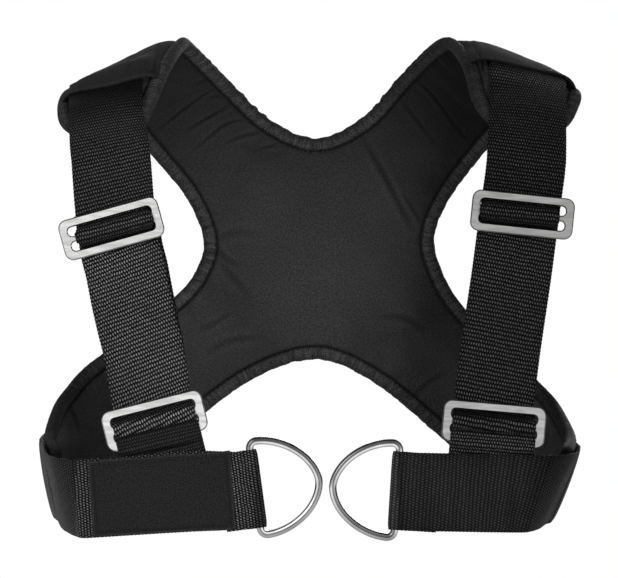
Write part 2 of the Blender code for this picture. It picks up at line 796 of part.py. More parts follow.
def build_tab(side):
    """The belt's tab: a doubled webbing loop round the lower slide's bottom bar."""
    along, rise, out = strap_axes(side["lower"][2])
    centre = lower_bar(side)
    ply = SLIDE_THICK / 2 + BAR_GAP + WEB_THICK / 2
    over = SLIDE_RIM / 2 + BAR_GAP + WEB_THICK / 2
    side_up = SLIDE_RIM / 2
    bend = BAR_GAP + WEB_THICK / 2
    front_y = BELT_FRONT_Y + WEB_THICK + GAP + 0.5
    back_y = front_y + WEB_THICK + GAP

    def forward_for(y, up):
        return (y - centre[1] - rise[1] * up) / out[1]

    path = [(up, forward_for(front_y, up)) for up in (-TAB_REACH, -TAB_REACH * 0.6, -6.2)]
    path += [(-4.7, (ply + forward_for(front_y, -6.2)) / 2 + 0.3), (-side_up - 0.5, ply)]
    path += [(side_up, ply), (side_up + bend * 0.5, SLIDE_THICK / 2 + bend * 0.87),
             (side_up + bend * 0.87, SLIDE_THICK / 2 + bend * 0.5), (over, SLIDE_THICK / 2)]
    path += [(up, -forward) for up, forward in path[:3:-1]]
    path += [(-4.7, -(ply - forward_for(back_y, -6.2)) / 2 - 0.3)]
    path += [(up, forward_for(back_y, up)) for up in (-6.2, -TAB_REACH * 0.6, -TAB_REACH)]
    rails = ([], [], [])
    for up, forward in path:
        for rail, share in zip(rails, (-1, 0, 1)):
            rail.append(centre + along * share * SLIDE_WEB_HALF + rise * up + out * forward)
    add_object(side["name"] + "_ring_tab", *ribbon(rails, WEB_THICK), BLACK_WEBBING)


BELT_LIFT = FOAM_FULL / 2 + GAP * 2 + FABRIC + WEB_THICK / 2 + 0.5


def belt_on_lobe(side):
    rails = ([], [], [])
    for place in (15.1, 15.6, 16.1, 16.6, 16.95):
        outer, inner = edge_points(side, place)
        width = np.linalg.norm(inner - outer)
        middle = 1 - (WEB_WIDTH / 2 + 0.5) / width
        half = WEB_WIDTH / 2 / width
        for rail, across in zip(rails, (middle - half, middle, middle + half)):
            rail.append(panel_point(side, place, across, BELT_LIFT))
    return rails


def return_length(side):
    """The belt's return ply takes a share of the free length from the ring to the tab."""
    along, rise, _ = strap_axes(side["lower"][2])
    corner = lower_bar(side) - rise * TAB_REACH - along * SLIDE_WEB_HALF * side["sign"]
    return side["return_share"] * (abs(corner[0]) - abs(side["ring"][0]))


def belt_round_ring(side):
    """The flat front of the belt, its fold round the ring's bar and the sewn return."""
    bar, bow, centre = ring_axes(side)
    path = [(-8.0, -BELT_FOLD)]
    path += [(BELT_FOLD * math.sin(math.radians(a)), -BELT_FOLD * math.cos(math.radians(a)))
             for a in (0, 30, 60, 90, 120, 150, 180)]
    behind = WEB_THICK + GAP - BELT_FOLD
    path += [(-4.0, BELT_FOLD - 0.6), (-9.0, behind + 0.9), (-12.0, behind),
             (-return_length(side), behind)]
    rails = ([], [], [])
    for out, depth in path:
        middle = centre + bow * out + vec((0.0, depth, 0.0))
        for rail, share in zip(rails, (1, 0, -1)):
            rail.append(middle + bar * share * BELT_AT_RING / 2)
    return rails


def build_belt(side):
    lobe = belt_on_lobe(side)
    ring = belt_round_ring(side)
    front = [[], [], []]
    top = smooth_line([lobe[0][-1]] + side["belt_top"] + [ring[0][0]], 3)[1:-1]
    bottom = smooth_line([lobe[2][-1]] + side["belt_bottom"] + [ring[2][0]], 3)[1:-1]
    for high, low in zip(top, bottom):
        for point in (high, low):
            point[1] = max(point[1], BELT_FRONT_Y)
        front[0].append(high)
        front[1].append((high + low) / 2)
        front[2].append(low)
    rails = [list(lobe[i]) + front[i] + list(ring[i]) for i in range(3)]
    add_object(side["name"] + "_belt", *ribbon(rails, WEB_THICK), BLACK_WEBBING)


def ring_line():
    """The D-ring's centre line: out from the bar along X, along the bar along Y."""
    half = RING_HALF_HEIGHT
    corner = RING_CORNER
    line = [(0.0, (half - corner) * step / 3) for step in (-3, -2, -1, 0, 1, 2)]
    for step in range(4):
        angle = math.radians(90 * step / 4)
        line.append((corner - corner * math.cos(angle), half - corner + corner * math.sin(angle)))
    reach = RING_DEPTH - corner
    turns = 24
    for step in range(turns + 1):
        angle = math.radians(90 - 180 * step / turns)
        out = abs(math.cos(angle)) ** (2 / RING_BOW_POWER) * reach
        up = math.copysign(abs(math.sin(angle)) ** (2 / RING_BOW_POWER), angle) * half
        line.append((corner + out, up))
    for step in range(1, 4):
        angle = math.radians(90 - 90 * step / 4)
        line.append((corner - corner * math.cos(angle), corner - half - corner * math.sin(angle)))
    return line


def build_ring(side):
    bar, bow, centre = ring_axes(side)
    line = [centre + bow * x + bar * y for x, y in ring_line()]
    square = unit(np.cross(bar, bow))
    count = len(line)
    sides = 10
    points = []
    for number, point in enumerate(line):
        along = unit(line[(number + 1) % count] - line[number - 1])
        out = unit(np.cross(along, square))
        for step in range(sides):
            angle = 2 * math.pi * (step + 0.5) / sides
            spoke = out * math.cos(angle) + square * math.sin(angle)
            points.append(point + spoke * RING_WIRE / 2)
    faces = []
    for number in range(count):
        for step in range(sides):
            a = number * sides + step
            b = number * sides + (step + 1) % sides
            c = ((number + 1) % count) * sides + (step + 1) % sides
            d = ((number + 1) % count) * sides + step
            faces.append((a, b, c, d))
    add_object(side["name"] + "_d_ring", points, faces, BRIGHT_METAL, tuple(centre))


def build_patch():
    angle = math.radians(PATCH_TILT)
    along = vec((math.cos(angle), 0.0, math.sin(angle)))
    rise = vec((-math.sin(angle), 0.0, math.cos(angle)))
    out = vec((0.0, -1.0, 0.0))
    y = BELT_FRONT_Y - WEB_THICK / 2 - GAP - PATCH_THICK / 2
    centre = vec((PATCH_CENTRE[0], y, PATCH_CENTRE[1]))

    def loops(inset):
        return [rounded_rectangle(PATCH_LENGTH - 2 * inset, PATCH_HEIGHT - 2 * inset,
                                  2.0 - inset, 3)]

    flat, faces = plate_with_holes(loops, PATCH_THICK, 0.3)
    points = [centre + along * x + rise * z + out * w for x, z, w in flat]
    add_object("label_patch", points, faces, PATCH_FINISH)


def orient_outward():
    """Turn any body whose faces point in, judged by its signed volume."""
    for body in bpy.context.scene.objects:
        mesh = body.data
        mesh.calc_loop_triangles()
        volume = 0.0
        for triangle in mesh.loop_triangles:
            a, b, c = [mesh.vertices[i].co for i in triangle.vertices]
            volume += a.dot(b.cross(c)) / 6
        if volume < 0:
            mesh.flip_normals()


def main():
    for item in list(bpy.data.objects):
        bpy.data.objects.remove(item, do_unlink=True)
    build_back()
    for side in (LEFT, RIGHT):
        build_cover(side)
        build_strap(side)
        build_keeper(side)
        build_slide(side["name"] + "_upper_slide", upper_centre(side), side["upper"][2],
                    tuple(upper_centre(side)))
        build_slide(side["name"] + "_lower_slide", lower_centre(side), side["lower"][2],
                    tuple(lower_bar(side)))
        build_tab(side)
        build_belt(side)
        build_ring(side)
    build_patch()
    orient_outward()


main()
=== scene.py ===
"""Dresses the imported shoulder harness: padding, bindings, webbing, steel and a stage."""

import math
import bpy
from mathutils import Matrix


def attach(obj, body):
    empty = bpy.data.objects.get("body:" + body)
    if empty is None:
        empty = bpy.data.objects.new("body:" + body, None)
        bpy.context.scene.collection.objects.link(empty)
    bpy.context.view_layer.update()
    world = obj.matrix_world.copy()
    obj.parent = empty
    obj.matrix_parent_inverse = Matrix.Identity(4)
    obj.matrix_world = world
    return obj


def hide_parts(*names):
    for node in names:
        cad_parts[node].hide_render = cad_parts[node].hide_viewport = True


bl_info = {
    "name": "Flywheel training shoulder harness",
    "version": (1, 0, 0),
    "blender": (4, 5, 0),
    "location": "View3D > Sidebar > Harness",
    "description": "Makes the harness's padding, tape, webbing and steel round its packed frame",
    "category": "Object",
}

from functools import partial

import bpy
import numpy as np
from mathutils import Vector, kdtree
from mathutils.bvhtree import BVHTree

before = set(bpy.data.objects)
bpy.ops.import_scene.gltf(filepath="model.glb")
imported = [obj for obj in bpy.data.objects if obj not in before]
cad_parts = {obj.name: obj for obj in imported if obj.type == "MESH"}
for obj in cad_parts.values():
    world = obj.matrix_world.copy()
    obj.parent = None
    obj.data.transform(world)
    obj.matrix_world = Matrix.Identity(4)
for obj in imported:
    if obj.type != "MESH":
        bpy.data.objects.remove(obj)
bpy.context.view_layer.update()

# Driving dimensions in millimetres, the same as in the part's source

MM = 0.001
WEB_WIDTH = 50.0
WEB_THICK = 1.8
WEB_COLUMNS = 18
WEB_ROW = 2.3
GAP = 0.3
FABRIC = 0.8
FOAM_EDGE = 3.0
FOAM_FULL = 8.0
EDGE_BAND = 9.0
PLUMP_REACH = 28.0
TAPE_ARM = 7.6
TAPE_THICK = 0.7
TAPE_GATHER = 4.6
TAPE_WAVE = 11.0
SEAM_DISTANCE = 8.1
CORNER_ROUNDING = 3.6
CORNER_REACH = 14.0
SLIDE_HEIGHT = 26.0
SLIDE_THICK = 3.0
SLIDE_RIM = 5.4
SLIDE_MIDDLE = 3.6
BAR_GAP = 0.45
SLIDE_WEB_HALF = 24.3
RING_WIRE = 4.8
RING_HALF_HEIGHT = 29.5
RING_DEPTH = 40.2
RING_CORNER = 4.4
RING_BOW_POWER = 1.8
STRAP_TOP_Z = -50.0
STRAP_TOP_Y = -67.0
STRAP_TURN_Z = -62.0
STRAP_TURN = 9.0
STRAP_TURN_REACH = 18.0
STRAP_PITCH = 0.0516
STRAP_GRAIN = 7.8
STRAP_GRAIN_CHANGE = 2.8
STRAP_ROW_GROWTH = 0.07
STRAP_ROW_SPAN = 200.0
BELT_FRONT_Y = -81.1
BELT_FOLD = RING_WIRE / 2 + GAP + WEB_THICK / 2
RING_AXIS_Y = BELT_FRONT_Y + BELT_FOLD
BELT_AT_RING = 49.0
TAB_REACH = 34.0
PATCH_LENGTH = 88.9
PATCH_HEIGHT = 48.0
PATCH_THICK = 1.2
PATCH_CENTRE = (-96.5, -264.8)
PATCH_TILT = 4.2
PATCH_ROUNDING = 1.6
PATCH_SEAM = 1.9
FRONT_PLY = -(SLIDE_THICK / 2 + 0.4 + WEB_THICK / 2)
BACK_PLY = FRONT_PLY - WEB_THICK - GAP
KEEPER_THICK = 1.5
KEEPER_HALF = SLIDE_THICK / 2 + BAR_GAP + KEEPER_THICK
STRAP_LIFT = FOAM_FULL / 2 + GAP * 2 + FABRIC + WEB_THICK / 2 + 1.3
COVER_LIFT = STRAP_LIFT + WEB_THICK / 2 + GAP + 0.5
COVER_REST = FOAM_FULL / 2 + GAP * 2 + FABRIC + 0.1
COVER_EDGE = 2.0
COVER_END = 4.9
COVER_SEAM = 3.4
BELT_LIFT = FOAM_FULL / 2 + GAP * 2 + FABRIC + WEB_THICK / 2 + 0.5

# How finely things are made. A grid is its rows to a station, its columns in each edge band
# and its columns between them

PAD_GRID = (8, 3, 18)
TAPE_GRID = (14, 4, 20)
COVER_ROWS = 71
COVER_COLUMNS = 49
LOOP_STEP = 1.0
RAIL_STEPS = 24
CREASE_STEPS = 24
NORMAL_STEP = 0.05
SLANT_STEP = 0.02
LEAST_SLANT = 0.3
MOST_SHARE = 0.34

# Seeds of the uneven waves. The right side's piece has the next number, and the tapes have ten
# between them

SEEDS = {"belt": 20, "pucker": 31, "strap": 40, "belt_light": 55, "adjuster_web": 60,
         "cover": 71, "keeper": 80, "tab": 90, "tape": 100}
UNEVEN_SEEDS = (7, 11)
PATCH_SEEDS = (5, 8, 9)

# How the webbing lies: the lengths of its waves, where they fade out, how square its section is,
# how far its selvage is rounded and shaded, and how sharply its edge rows stand out

LIE_WAVES = (42.0, 23.0)
LIE_FADE = 12.0
SECTION_POWER = 10
SELVAGE_THICK = 0.18
SELVAGE_SHADE = 0.3
SELVAGE_POWER = 12
TOOTH_POWER = 14
ADJUSTER_WEB = 1.6
ADJUSTER_WEB_HALF = 23.2
KEEPER_WEB = 1.2
KEEPER_SHARE = 0.93
KEEPER_SQUARENESS = 0.55
FINE_STEP = 0.4

# How the pad's cover lies: pressed under the tape, held there in the simulation, puckered beside
# the seam, uneven further in, and creased

PRESS_DEPTH = 0.85
PRESS_FROM = 11.0
PRESS_FADE = 3.0
HELD_FROM = 1.6
HELD_REACH = 12.0
PUCKER_WAVE = 10.5
PUCKER_FROM = 11.5
PUCKER_REACH = 5.0
UNEVEN_WAVES = (46.0, 58.0)
UNEVEN_HEIGHT = 0.45
CREASE_SCALE = 1.1
CREASE_RIM = 0.45
CREASE_RIM_AT = 2.1
SHELL_FRONT_Y = 30.0

# Where the lining's painted light sits, as the lining is lit in the photograph: the middle of
# the light and its reach, in pixels

LIGHT_MIDDLE = (270.0, 280.0)
LIGHT_REACH = 150.0
LIGHT_PEAK = 1.5
LIGHT_FALL = 0.45

# The lamps' places, targets, angles or sizes, and powers, then the floor's size and height, the
# wall's height and how far the camera sees, all in metres

HARNESS_MIDDLE = (0.0, 0.0, -0.14)
KEY_BEAM = ((0.45, -2.1, -0.45), (-0.15, 0.0, -0.19), 24.0, 185.0)
BEAM_RADIUS = 0.22
PANELS = {"high_panel": ((-1.2, -1.8, 0.9), HARNESS_MIDDLE, (1.1, 1.1), 9.0),
          "back_panel": ((0.5, 2.4, 0.5), HARNESS_MIDDLE, (1.4, 1.2), 40.0)}
FLOOR_SIZE = 16.0
FLOOR_Z = -0.42
WALL_HEIGHT = 4.5
CAMERA_END = 50.0

# Stations of the padded panel from a pad's front end, over the shoulder and across the back,
# to the end of the side lobe: armhole edge, inner edge, bulge of the middle. The inner edge has
# corners at the neck's and the waist's middle

LEFT_STATIONS = [
    ((-144.5, -50, -42.4), (-119.0, -53, -40.6), 0.5),
    ((-160.8, -35, -33.0), (-107.9, -47, -29.6), 2.0),
    ((-164.2, -22, -23.5), (-102.0, -40, -16.0), 3.0),
    ((-163.6, -10, -15.6), (-93.5, -24, 7.0), 1.5),
    ((-160.4, 3, -11.0), (-84.8, 8, 23.0), 0.6),
    ((-152.5, 16, -11.5), (-80.5, 22, 22.0), 2.0),
    ((-125.5, 46, -27.6), (-57.4, 60, -0.2), 3.5),
    ((-103.1, 64, -52.4), (-31.0, 76, -24.6), 2.8),
    ((-83.9, 74, -76.6), (0.0, 80, -37.2), 1.5),
    ((-73.2, 78, -105.4), (0.0, 84, -100.0), 1.5),
    ((-81.0, 78, -128.5), (0.0, 83, -145.0), 1.3),
    ((-96.0, 77, -144.6), (0.0, 80, -181.6), 0.8),
    ((-123.4, 74, -166.9), (-47.0, 79, -197.4), 1.2),
    ((-152.0, 66, -188.4), (-103.0, 71, -240.6), 2.0),
    ((-163.0, 56, -201.5), (-133.0, 58, -261.0), 2.5),
    ((-169.0, 42, -211.5), (-149.5, 42, -272.5), 2.4),
    ((-172.3, 8, -229.0), (-162.0, 8, -282.0), 1.6),
    ((-166.5, -28, -238.0), (-157.5, -28, -284.0), 0.8),
]

RIGHT_STATIONS = [
    ((146.0, -50, -39.5), (120.0, -53, -38.5), 0.5),
    ((159.8, -37, -31.2), (107.2, -49, -28.0), 2.0),
    ((166.4, -22, -20.2), (99.5, -42, -15.5), 3.0),
    ((169.0, -10, -13.6), (94.3, -27, 7.0), 1.8),
    ((167.0, 3, -10.5), (85.0, 6, 23.0), 1.2),
    ((157.0, 16, -11.5), (76.0, 22, 22.0), 2.2),
    ((127.0, 46, -27.6), (55.6, 58, 3.0), 3.5),
    ((101.8, 66, -55.6), (32.2, 75.5, -22.6), 2.8),
    ((84.8, 75, -80.3), (0.0, 80, -37.2), 1.5),
    ((77.1, 78, -104.0), (0.0, 84, -100.0), 1.5),
    ((84.5, 78, -129.0), (0.0, 83, -145.0), 1.3),
    ((98.2, 77, -150.0), (0.0, 80, -181.6), 0.8),
    ((122.0, 74, -172.2), (39.8, 79, -197.7), 1.2),
    ((144.5, 69, -196.0), (86.6, 71, -236.2), 2.0),
    ((154.5, 60, -206.5), (116.5, 62, -261.0), 2.5),
    ((159.5, 48, -214.8), (133.0, 46, -272.5), 2.4),
    ((165.0, 12, -230.0), (145.0, 8, -282.0), 1.6),
    ((160.5, -27, -238.5), (142.0, -28, -284.0), 0.8),
]

# Places along the stations: the corners and the end, where the straps and the belts are sewn on,
# the belts' distance from the edge, how a cover's rows are spread, and the inner edge's runs

NECK_STATION = 8
WAIST_STATION = 11
LAST_STATION = 17
STRAP_PLACES = (2.0, 1.5, 1.1)
BELT_PLACES = (15.1, 15.6, 16.1, 16.6, 16.95)
BELT_MARGIN = 1.3
COVER_STEPS = (0.0, 0.12, 0.3, 0.55, 0.8, 1.0)
INNER_SPANS = ((0, NECK_STATION), (NECK_STATION, WAIST_STATION), (WAIST_STATION, LAST_STATION))

# What differs between the sides. Places are in millimetres, as x, z and tilt in degrees; lines
# of the hem, the creases and the belt's light are where they show in the photograph, in pixels.
# The strap's, tab's and belt's light, the tape's shade and the shade below the hem are painted
# light and shade, and the strap's and tab's creases are painted shade only

LEFT = {
    "name": "left", "sign": -1, "stations": LEFT_STATIONS,
    "upper": (-128.5, -98.2, 15.5), "lower": (-101.3, -218.6, 14.0), "web_shift": 2.2,
    "strap": [(-103.8, -202.0, 12.0), (-108.2, -176.7, 11.0), (-111.9, -161.7, 11.0),
              (-116.3, -142.9, 11.0), (-120.0, -124.1, 11.0), (-123.2, -111.6, 11.0),
              (-126.2, -90.2, 7.0), (-128.1, -67.5, 4.0), (-129.0, -56.0, 3.0)],
    "strap_edges": (-155.2, -107.6), "strap_exit": (-130.6, -62.0, -43.0, 3.0),
    "belt_top": [(-172.0, -40, -239.5), (-166.5, -60, -241.5), (-156.5, -75, -242.6),
                 (-146.0, BELT_FRONT_Y, -242.5), (-120.0, BELT_FRONT_Y, -240.8),
                 (-80.0, BELT_FRONT_Y, -237.2)],
    "belt_bottom": [(-161.5, -40, -287.5), (-156.5, -60, -289.5), (-149.5, -75, -291.2),
                    (-143.0, BELT_FRONT_Y, -291.6), (-117.0, BELT_FRONT_Y, -290.0),
                    (-77.0, BELT_FRONT_Y, -287.6)],
    "ring": (-38.4, -260.9, -7.7), "return_length": 21.0, "ply_shift": 1.9,
    "strap_look": "webbing", "tab_look": "fine_webbing", "belt_look": "webbing",
    "strap_light": (0.56, 1.28), "tab_light": 0.85, "tape_shade": 0.45, "strap_creases": [],
    "tab_creases": [([(120, 457), (162, 449), (206, 439)], 1.0, 2.0)],
    "hem": [(70.0, 96.0), (105.0, 82.5), (140.0, 79.0), (150.0, 84.0)],
    "hem_places": (2.26, 2.46), "strap_end": 3.05,
    "belt_light": [(38, 0.08), (60, 0.2), (73.5, 0.35), (74.6, 0.2), (76, 0.95), (90, 0.9),
                   (235, 1.1), (252, 1.0), (257, 0.4), (270, 0.3)],
}

RIGHT = {
    "name": "right", "sign": 1, "stations": RIGHT_STATIONS,
    "upper": (129.1, -89.4, -6.0), "lower": (111.0, -220.5, -5.0), "web_shift": -2.0,
    "strap": [(111.6, -203.0, -6.0), (115.2, -175.0, -7.0), (117.4, -160.0, -7.0),
              (120.0, -142.9, -7.0), (122.8, -124.0, -7.0), (125.2, -106.0, -6.0),
              (129.0, -78.0, -4.0), (131.0, -64.0, -3.0), (132.0, -54.0, -3.0)],
    "strap_edges": (156.8, 107.8), "strap_exit": (132.6, -61.5, -41.5, -3.0),
    "belt_top": [(166.5, -40, -239.0), (161.0, -60, -239.8), (151.5, -75, -240.1),
                 (141.0, BELT_FRONT_Y, -239.8), (110.0, BELT_FRONT_Y, -239.2)],
    "belt_bottom": [(145.0, -40, -285.5), (140.5, -60, -286.8), (134.0, -75, -287.8),
                    (127.0, BELT_FRONT_Y, -288.2), (105.0, BELT_FRONT_Y, -288.0)],
    "ring": (50.3, -262.1, 3.8), "return_length": 26.0, "ply_shift": 0.0,
    "strap_look": "brick_webbing", "tab_look": "brick_webbing", "belt_look": "fine_webbing",
    "strap_light": (0.32, 0.56), "tab_light": 0.7, "tape_shade": 0.62, "tab_creases": [],
    "strap_creases": [([(484, 166), (530, 169), (568, 170)], 0.5, 1.3)],
    "hem": [(485.0, 64.0), (510.0, 65.5), (541.0, 73.0), (568.0, 80.0)],
    "hem_places": (3.16, 2.86), "strap_end": 3.75,
    "belt_light": [(386, 0.9), (392, 2.2), (397, 2.0), (399.5, 0.7), (404, 0.95), (520, 1.0),
                   (545, 0.6), (580, 0.3)],
}
SIDES = (LEFT, RIGHT)

# The photograph's camera, in millimetres and pixels

CAMERA_AT = (-4.7, -2600.0, -136.0)
CAMERA_FOCUS = 2520.0
PIXEL = 0.625
IMAGE_WIDTH = 618.0
IMAGE_CENTRE = (309.0, 289.0)
SENSOR = 36.0
CAMERA_LENS = SENSOR * CAMERA_FOCUS / (IMAGE_WIDTH * PIXEL)

# Creases that the photograph shows: line in pixels, depth in millimetres, half width in pixels

LINER_CREASES = [
    ([(217, 85.5), (186, 108), (155, 132)], 0.9, 1.3),
    ([(210, 78.5), (202, 82), (193, 86)], 0.6, 1.4),
    ([(230, 105), (208, 118), (185, 131.5)], 0.8, 1.6),
    ([(245, 119), (226, 124.5), (212, 135), (194, 150)], 0.8, 1.6),
    ([(224, 96), (216, 97), (207, 98)], 0.5, 1.4),
    ([(262, 132), (240, 137), (225, 143.5)], 0.6, 1.7),
    ([(281, 145), (270, 146), (258, 149)], 0.5, 1.7),
    ([(238, 266), (226, 258), (214, 244)], 0.5, 2.6),
    ([(250, 296), (232, 276), (218, 256)], 0.35, 3.0),
    ([(416, 80), (434, 98), (452, 122), (468, 142)], 0.9, 1.6),
    ([(414, 83), (428, 96), (440, 112)], -0.6, 1.6),
    ([(362, 138), (380, 168), (400, 206), (412, 228)], 0.6, 3.0),
    ([(398, 96), (416, 120), (438, 148)], 0.5, 2.0),
    ([(400, 190), (412, 208), (422, 226)], 0.5, 2.0),
    ([(214, 240), (236, 232), (262, 236)], 0.3, 3.4),
    ([(206, 352), (232, 340), (262, 338)], 0.4, 3.0),
    ([(200, 330), (216, 322), (232, 312)], 0.4, 2.6),
    ([(424, 330), (404, 318), (378, 316)], 0.4, 3.0),
    ([(445, 372), (425, 385), (410, 402)], 0.6, 2.4),
    ([(60, 395), (72, 410), (80, 432)], 0.5, 2.2),
]
SHELL_CREASES = [
    ([(158, 47), (155.5, 60), (153, 78)], 1.2, 1.6),
    ([(179, 40), (173, 60), (168, 74), (163, 88)], -0.7, 2.2),
    ([(120, 58), (104, 68), (92, 80)], 0.35, 3.0),
    ([(138, 52), (132, 62), (128, 76)], 0.4, 2.4),
    ([(469, 40), (476, 50), (481.5, 60), (484, 74)], 1.6, 1.3),
    ([(462, 66), (470, 84), (478, 104)], 0.5, 2.4),
    ([(520, 56), (534, 64), (548, 76)], 0.35, 3.0),
]
# Where the left arm tape's ends overlap, in pixels; painted highlight lines go there
TAPE_JOINS = [(210.0, 239.5), (210.0, 248.0), (210.0, 258.0)]

# The folded tape's half section: distance in from the edge, and out from the middle surface

TAPE_SECTION = [(7.7, 2.95), (7.0, 2.9), (6.4, 2.75), (5.8, 2.95), (5.0, 3.4), (4.0, 3.8),
                (2.8, 4.0), (1.5, 3.85), (0.4, 3.35), (-0.45, 2.5), (-0.95, 1.4), (-1.1, 0.4)]
# Painted light across the same half section: shade at the rolled edge, darkest beside the seam,
# light on the tape's top
TAPE_LIGHT = ((-1.1, 0.75), (0.2, 0.75), (1.6, 1.05), (5.2, 1.4), (6.3, 1.0), (7.1, 0.25),
              (7.7, 0.15))

# A stitch: its section across and up, and its profile of length, width and height

STITCH_SECTION = [(-0.5, -0.6), (-0.36, 0.55), (0.0, 1.0), (0.36, 0.55), (0.5, -0.6)]
STITCH_CHORD = 0.4
STITCH_SUNK = 0.25
STITCH_PROFILE = [(0.0, 0.15, -0.7), (0.18, 0.8, 0.55), (0.5, 1.0, 1.0), (0.82, 0.8, 0.55),
                  (1.0, 0.15, -0.7)]

# Painted reflections on the polished wire: how bright it is painted across its width, from its
# dark side to its bright side

WIRE_PAINTED_REFLECTION = ((-1.0, 0.4), (-0.95, 0.28), (-0.8, 0.3), (-0.58, 0.4), (-0.3, 0.42), (0.0, 0.13),
              (0.31, 0.85), (0.6, 0.95), (0.82, 0.5), (0.95, 0.07), (1.0, 0.25))

# Painted reflection on a slide's chamfer by how much it faces away, and the painted light of
# each slide's place

CHAMFER_BANDS = ((0.0, 1.0), (0.05, 1.0), (0.14, 0.5), (0.4, 0.35), (0.8, 0.7))
SLIDE_PAINTED_LIGHT = {"left_upper_slide": 0.71, "left_lower_slide": 0.75, "right_upper_slide": 0.37,
               "right_lower_slide": 0.46}


# Curves and the panel's surface

def vec(point):
    return np.array(point, dtype=float)


def unit(vectors):
    vectors = np.asarray(vectors, float)
    return vectors / np.maximum(np.linalg.norm(vectors, axis=-1, keepdims=True), 1e-12)


def past_end(end, inside):
    """Where the curve would go on past its end: mirrored at the centre line."""
    if len(end) == 3 and end[0] == 0.0 and inside[0] != 0.0:
        return inside * vec((-1.0, 1.0, 1.0))
    return 2 * end - inside


def spline(points, places, first=0, last=None):
    """A smooth curve through the points, read at many places at once."""
    points = np.asarray(points, float)
    last = len(points) - 1 if last is None else last
    places = np.atleast_1d(np.asarray(places, float))
    index = np.clip(np.floor(places).astype(int), first, last - 1)
    part = (places - index)[:, None]
    start, end = points[index], points[index + 1]
    before = points[np.maximum(index - 1, first)].copy()
    after = points[np.minimum(index + 2, last)].copy()
    before[index == first] = past_end(points[first], points[first + 1])
    after[index + 1 == last] = past_end(points[last], points[last - 1])
    return 0.5 * (2 * start + (end - before) * part
                  + (2 * before - 5 * start + 4 * end - after) * part ** 2
                  + (3 * start - before - 3 * end + after) * part ** 3)


def edge_lines(side, places):
    """The armhole edge and the inner edge at many places along the panel."""
    places = np.atleast_1d(np.asarray(places, float))
    outer = spline([station[0] for station in side["stations"]], places)
    points = vec([station[1] for station in side["stations"]])
    inner = np.zeros_like(outer)
    for first, last in INNER_SPANS:
        chosen = (places >= first) & ((places < last) | (last == LAST_STATION))
        if chosen.any():
            inner[chosen] = spline(points, places[chosen], first, last)
    return outer, inner


def panel(side, places, shares, lift=0.0):
    """Points of the panel's middle surface for rows of places and shares across."""
    places = np.atleast_1d(np.asarray(places, float))
    shares = np.asarray(shares, float)
    if shares.ndim == 1:
        shares = np.tile(shares, (len(places), 1))
    outer, inner = edge_lines(side, places)
    across = (inner - outer)[:, None, :]
    flat = outer[:, None, :] + across * shares[..., None]
    ends = []
    for moved in (np.maximum(places - NORMAL_STEP, 0),
                  np.minimum(places + NORMAL_STEP, LAST_STATION)):
        low, high = edge_lines(side, moved)
        ends.append(low[:, None, :] + (high - low)[:, None, :] * shares[..., None])
    normals = unit(np.cross(ends[1] - ends[0], across)) * side["sign"]
    bulges = spline([(station[2],) for station in side["stations"]], places)
    rise = bulges * 4 * shares * (1 - shares)
    return flat + normals * (rise + lift)[..., None]


def edge_share(side, place, at_inner):
    """How much of the width the edge band takes, measured square to the edge."""
    low, high = max(place - SLANT_STEP, 0), min(place + SLANT_STEP, LAST_STATION)
    if at_inner:
        for first, last in INNER_SPANS:
            if first <= place < last or place == last == LAST_STATION:
                low, high = max(low, first), min(high, last - 0.0001)
    pick = 1 if at_inner else 0
    along = unit(edge_lines(side, high)[pick][0] - edge_lines(side, low)[pick][0])
    outer, inner = (line[0] for line in edge_lines(side, place))
    width = np.linalg.norm(inner - outer)
    slant = np.linalg.norm(np.cross(along, (inner - outer) / width))
    return min(EDGE_BAND / (width * max(slant, LEAST_SLANT)), MOST_SHARE)


def shares_at(side, place, band, middle):
    near = edge_share(side, place, False)
    if NECK_STATION <= place <= WAIST_STATION:
        part = (place - NECK_STATION) / (WAIST_STATION - NECK_STATION)
        neck = edge_share(side, NECK_STATION - 0.01, True)
        waist = edge_share(side, WAIST_STATION + 0.01, True)
        far = neck + (waist - neck) * part
    else:
        far = edge_share(side, place, True)
    return np.concatenate([np.linspace(0, near, band + 1),
                           np.linspace(near, 1 - far, middle + 1)[1:],
                           np.linspace(1 - far, 1, band + 1)[1:]])


def foam_thickness(distance):
    """The foam is thin under the tape and plump some way in."""
    share = eased((distance - EDGE_BAND - 0.6) / (PLUMP_REACH - EDGE_BAND))
    return FOAM_EDGE + (FOAM_FULL - FOAM_EDGE) * share


def eased(share):
    share = np.clip(share, 0.0, 1.0)
    return share * share * (3 - 2 * share)


def bell(values, centre, width):
    """1 at the centre, and falling off over the width on both sides."""
    return np.exp(-((values - centre) / width) ** 2)


def run_along(points):
    """The length along a line at each of its points."""
    steps = np.linalg.norm(np.diff(points, axis=0), axis=1)
    return np.concatenate([[0.0], np.cumsum(steps)])


def at_run(wanted, run, points):
    """The points at the wanted lengths along a line."""
    return np.stack([np.interp(wanted, run, points[:, i]) for i in range(3)], axis=-1)


def ripple(place, wave, seed, terms=6):
    """A smooth, uneven wave along a length, between about -1 and 1."""
    source = np.random.default_rng(seed)
    total = np.zeros_like(place, dtype=float)
    for _ in range(terms):
        length = wave * source.uniform(0.55, 1.9)
        total += np.sin(2 * math.pi * (place / length + source.uniform()))
    return total / math.sqrt(terms) / 1.2


def photo_pixels(points):
    """Where points show in the photograph."""
    scale = PIXEL * (-CAMERA_AT[1] + points[:, 1]) / CAMERA_FOCUS
    return np.stack([IMAGE_CENTRE[0] + (points[:, 0] - CAMERA_AT[0]) / scale,
                     IMAGE_CENTRE[1] - (points[:, 2] - CAMERA_AT[2]) / scale], axis=1)


